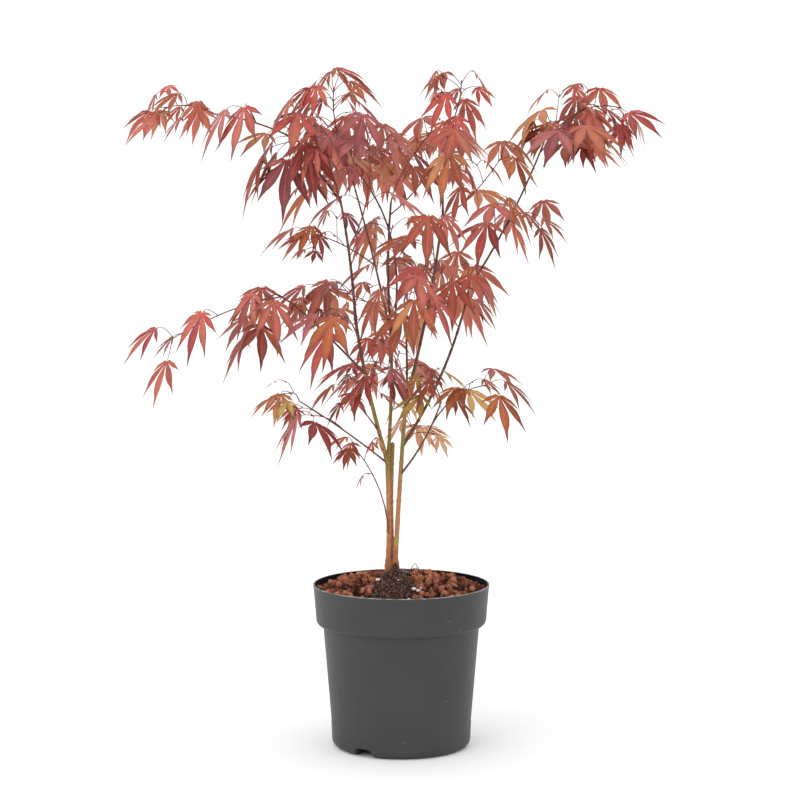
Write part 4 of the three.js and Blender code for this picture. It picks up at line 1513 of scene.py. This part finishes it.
    def build(self) -> None:
        """Makes the pot and puts it in place of its solid."""
        finish = PotFinish()
        pot = self.shell([finish.material(), finish.inside_shade_material(), finish.lip_highlight_material()])
        cutters = [self.notch(bearing) for bearing in self.notch_bearings]
        for cutter in cutters:
            cut = pot.modifiers.new("notch", "BOOLEAN")
            cut.operation, cut.object, cut.solver = "DIFFERENCE", cutter, "EXACT"
        pot = settle(pot)
        for cutter in cutters:
            bpy.data.objects.remove(cutter)
        pot.data.polygons.foreach_set("use_smooth", [True] * len(pot.data.polygons))
        pot.data.set_sharp_from_angle(angle=math.radians(self.crease))
        finish_piece(pot, ["pot"])


@dataclass(frozen=True)
class Grains:
    """Loose lumps of one kind: their shapes, and how they lie, in millimetres."""

    name: str
    kinds: int
    squash: float
    spacing: float
    sizes: Pair
    inset: float
    seed: int


@dataclass
class PottingMix:
    """What fills the pot: the granules on top, and the heap of old root ball at the stems' foot."""

    nodes: dict[str, bpy.types.Object]
    granules: Grains = Grains("granule_shapes", 9, 0.35, 4.7, (3.4, 10.4), 3.6, 11)
    crumbs: Grains = Grains("crumb_shapes", 6, 0.6, 1.6, (1.2, 3.6), 4.6, 23)
    bed_rings: int = 26
    bed_sides: int = 72
    heap_rings: int = 30
    heap_sides: int = 64
    wall_radius: float = 92.0
    wall_top: float = 167.0
    shoulder_radius: float = 62.0
    shoulder_top: float = 178.0
    flat_radius: float = 22.0
    top: float = 184.5
    heap_x: float = -7.5
    heap_y: float = -13.0
    heap_half_width: float = 33.0
    heap_reach: float = 75.0
    heap_foot: float = 170.0
    heap_top: float = 195.5
    heap_bulge: float = 1.45
    bed_roughness: float = 1.7
    heap_roughness: float = 0.7
    bed_cover: float = 3.4
    heap_cover: float = 1.4
    dry_radius: float = 0.55
    dry_sides: int = 6

    def height_at(self, x: float, y: float) -> float:
        """The height of the bed's surface, in millimetres, at a place in the pot."""
        reach = math.hypot(x, y)
        spots = (0.0, self.flat_radius, self.shoulder_radius, self.wall_radius)
        tops = (self.top, self.top, self.shoulder_top, self.wall_top)
        rough = math.sin(x * 0.21 + 1.7) * math.sin(y * 0.19 + 0.4)
        rough += 0.6 * math.sin(x * 0.47 + y * 0.39)
        return float(np.interp(reach, spots, tops)) + self.bed_roughness * rough

    def heap_at(self, x: float, y: float) -> float:
        """The height of the heap's surface at a place, or 0 where the heap isn't."""
        across = (x - self.heap_x) / self.heap_half_width
        ahead = (self.heap_y - y) / (self.heap_reach / 2)
        if ahead <= 0:
            return 0.0
        share = (across**2 + ahead**2) / (2 * ahead)
        if share > 1:
            return 0.0
        return self.heap_height(share)

    def heap_height(self, share: float) -> float:
        """The height of the heap at a share of the way from its top to its edge."""
        return self.heap_foot + (self.heap_top - self.heap_foot) * (1 - share**self.heap_bulge)

    def lumps(self, grains: Grains) -> bpy.types.Collection:
        """Makes a few angular lumps of about 1 mm to scatter.

        Args:
            grains: The lumps' facts, whose name seeds their shapes.

        Returns:
            The collection that holds them.
        """
        box = bpy.data.collections.new(grains.name)
        for kind in range(grains.kinds):
            random = RandomStream(seed_of(grains.name) + kind)
            form = bmesh.new()
            bmesh.ops.create_icosphere(form, subdivisions=1, radius=0.5)
            wide, deep = random.between(0.85, 1.3), random.between(0.65, 1)
            stretch = Vector((wide, deep, random.between(grains.squash, 0.9)))
            for corner in form.verts:
                corner.co = corner.co * stretch * (MM * random.between(0.66, 1.2))
            name = f"{grains.name}_{kind}"
            box.objects.link(bpy.data.objects.new(name, mesh_of(name, form)))
        return box

    def strew(self, ground: bpy.types.Object, grains: Grains,
              material: bpy.types.Material) -> bpy.types.Object:
        """Scatters lumps over a ground.

        Args:
            ground: The surface that they cover.
            grains: The lumps' facts.
            material: Their material.

        Returns:
            The ground and its lumps as one plain mesh.
        """
        box = self.lumps(grains)
        reach = self.wall_radius - grains.inset
        GrownTree.scatter(ground, box, grains.spacing, grains.sizes, reach, grains.seed, material)
        covered = settle(ground)
        for thing in list(box.objects):
            bpy.data.objects.remove(thing)
        bpy.data.collections.remove(box)
        return covered

    def bed(self) -> None:
        """Makes the domed bed of bark granules, with no faces below the heap."""
        rings, sides = self.bed_rings, self.bed_sides
        corners = [(0.0, 0.0, self.height_at(0, 0) * MM)]
        for ring in range(1, rings + 1):
            reach = self.wall_radius * ring / rings
            for turn in ring_angles(sides):
                x, y = reach * math.cos(turn), reach * math.sin(turn)
                corners.append((x * MM, y * MM, self.height_at(x, y) * MM))
        faces = [(0, 1 + i, 1 + (i + 1) % sides) for i in range(sides)]
        for a, b, c, d in band_faces(1, rings - 1, sides):
            x, y, z = (value / MM for value in corners[d])
            if self.heap_at(x, y) < z - 1:
                faces.append((a, d, c, b))
        # The near-black ground is painted shade in the gaps between granules; the lightest colour is a
        # painted highlight on the palest lumps.
        material = CrumbFinish(
            "granules", (22, 10, 7), (72, 38, 28), (118, 66, 47), (192, 128, 96), (38, 18, 13),
        ).material()
        bed = new_object("granule_bed", corners, faces, [material], True)
        finish_piece(self.strew(bed, self.granules, material), ["granules"])

    def mound(self) -> None:
        """Makes the crumbly heap of old compost in front of the stems."""
        rings, sides = self.heap_rings, self.heap_sides
        half, ahead = self.heap_half_width, self.heap_reach / 2
        corners = []
        for ring in range(rings + 1):
            share = ring / rings
            for turn in ring_angles(sides):
                x = self.heap_x + half * share * math.cos(turn)
                y = self.heap_y - ahead * share * (1 - math.sin(turn))
                rough = math.sin(x * 0.7 + 2) * math.sin(y * 0.6) + 0.7 * math.sin(x * 1.7 + y * 1.3)
                z = self.heap_height(share) + self.heap_roughness * rough * min(1.0, 3 * share)
                corners.append((x * MM, y * MM, z * MM))
        faces = [(a, d, c, b) for a, b, c, d in band_faces(0, rings, sides)]
        # The dark ground is painted shade in the gaps between crumbs.
        material = CrumbFinish(
            "compost_crumbs", (44, 31, 27), (62, 44, 37), (86, 63, 53), (122, 96, 80), (34, 24, 20),
        ).material()
        lump = new_object("compost_lump", corners, faces, [material], True)
        finish_piece(self.strew(lump, self.crumbs, material), ["compost_mound"])

    def bits(self) -> None:
        """Makes the few white bits of perlite and the one grey pebble on the compost."""
        random = RandomStream(seed_of("perlite"))
        form = bmesh.new()
        spots = ((-24.5, -38, 4.4, 0), (13.5, -60, 5.2, 0), (18, -62, 4.0, 0), (20.5, -57, 3.0, 0),
                 (8, -84, 3.4, 0), (-3, -48, 2.0, 0), (3.5, -8, 8.5, 3.5))
        for x, y, size, lift in spots:
            z = max(self.heap_at(x, y) + self.heap_cover, self.height_at(x, y) + self.bed_cover) + lift
            stretch = Vector((random.between(0.8, 1.5), random.between(0.6, 1), random.between(0.5, 0.8)))
            made = bmesh.ops.create_icosphere(form, subdivisions=2, radius=size / 2 * MM)
            for corner in made["verts"]:
                corner.co = corner.co * stretch * random.between(0.8, 1.15) + Vector((x, y, z)) * MM
        bits = add_to_scene("perlite_bits", mesh_of("perlite_bits", form))
        surface = Surface("perlite", 0.8, 0.2)
        patches = surface.mottle(1.2, 0.4, 0.7)
        chalk = surface.mix(patches["Mask"], linear(236, 230, 222), linear(180, 166, 150))
        surface.colour(surface.mix(surface.spot((3.5, -8, 191), 24), chalk, linear(104, 104, 106)))
        bits.data.materials.append(surface.material)
        finish_piece(bits)

    def litter(self) -> None:
        """Makes the bent dry twig that stands up beside the stems."""
        way = ((6.5, -12, 184), (10.5, -12, 194), (14.5, -12.5, 200.5), (18.5, -13, 194.5), (22, -14, 184))
        twig = new_lines("dry_twig", [(way, [self.dry_radius] * len(way))])
        GrownTree.tubes(twig, self.dry_sides, TwigFinish((84, 70, 60), (58, 48, 42)).material())
        finish_piece(settle(twig))

    def build(self) -> None:
        """Makes the granules, the heap and the litter, and dresses the compost below them."""
        self.bed()
        self.mound()
        self.bits()
        self.litter()
        soil = self.nodes["soil"]
        earth = CrumbFinish("compost", (60, 40, 32), (52, 34, 27), (74, 50, 39), (98, 70, 54), (30, 20, 16))
        soil.data.materials.clear()
        soil.data.materials.append(earth.material())


# ---------------------------------------------------------------- the studio
@dataclass
class Studio:
    """The plain pale floor, the soft light and the camera."""

    floor_radius: float = 30.0
    floor_sides: int = 96
    distance: float = 2.5
    eye_height: float = 0.617
    eye_left: float = 0.00135
    pitch: float = 5.54
    lens: float = 105.7
    sky: float = 1.14
    floor_white: float = 1.0
    key_place: Spot = (-1.8, -2.1, 1.7)
    key_aim: Spot = (0.0, 0.0, 0.4)
    key_size: float = 2.4
    key_watts: float = 20.0

    def lamp(self, name: str, place: Sequence[float], aim: Sequence[float], size: float,
             watts: float) -> None:
        """Adds one square soft light that faces a point.

        Args:
            name: The light's name.
            place: Where it hangs, in metres.
            aim: The point that it faces.
            size: The length of its side in metres.
            watts: Its power.
        """
        data = bpy.data.lights.new(name, "AREA")
        data.shape, data.size, data.energy = "SQUARE", size, watts
        light = add_to_scene(name, data)
        light.location = place
        way = Vector(aim) - Vector(place)
        light.rotation_euler = way.to_track_quat("-Z", "Y").to_euler()

    def floor(self) -> None:
        """Makes the round floor, which isn't part of the plant."""
        turns, radius = ring_angles(self.floor_sides), self.floor_radius
        rim = [(radius * math.cos(turn), radius * math.sin(turn), 0) for turn in turns]
        surface = Surface("studio_floor", 0.9, 0.1)
        surface.shader.inputs["Base Color"].default_value = (*[self.floor_white] * 3, 1)
        floor = new_object("studio_floor", rim, [tuple(range(len(rim)))], [surface.material], False)

    def build(self) -> None:
        """Sets up the floor, the light and the camera."""
        scene = bpy.context.scene
        scene.view_settings.view_transform = "Standard"
        self.floor()
        world = bpy.data.worlds.new("studio")
        scene.world = world
        world.use_nodes = True
        back = world.node_tree.nodes["Background"]
        back.inputs["Color"].default_value = (1, 1, 1, 1)
        back.inputs["Strength"].default_value = self.sky
        self.lamp("soft_key", self.key_place, self.key_aim, self.key_size, self.key_watts)
        data = bpy.data.cameras.new("camera")
        data.lens, data.sensor_width = self.lens, 36
        camera = add_to_scene("camera", data)
        camera.location = (-self.eye_left, -self.distance, self.eye_height)
        camera.rotation_euler = (math.radians(90 - self.pitch), 0, 0)
        scene.camera = camera


def main() -> None:
    """Builds the plant, its pot and the studio, and reports each piece."""
    logging.basicConfig(level=logging.INFO, format="%(name)s: %(message)s")
    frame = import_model()
    skeleton = Skeleton()
    Bark(skeleton).build()
    Foliage(skeleton, frame["nodes"]).build()
    NurseryPot().build()
    PottingMix(frame["nodes"]).build()
    Studio().build()
    bpy.context.view_layer.update()


if __name__ == "__main__":
    main()
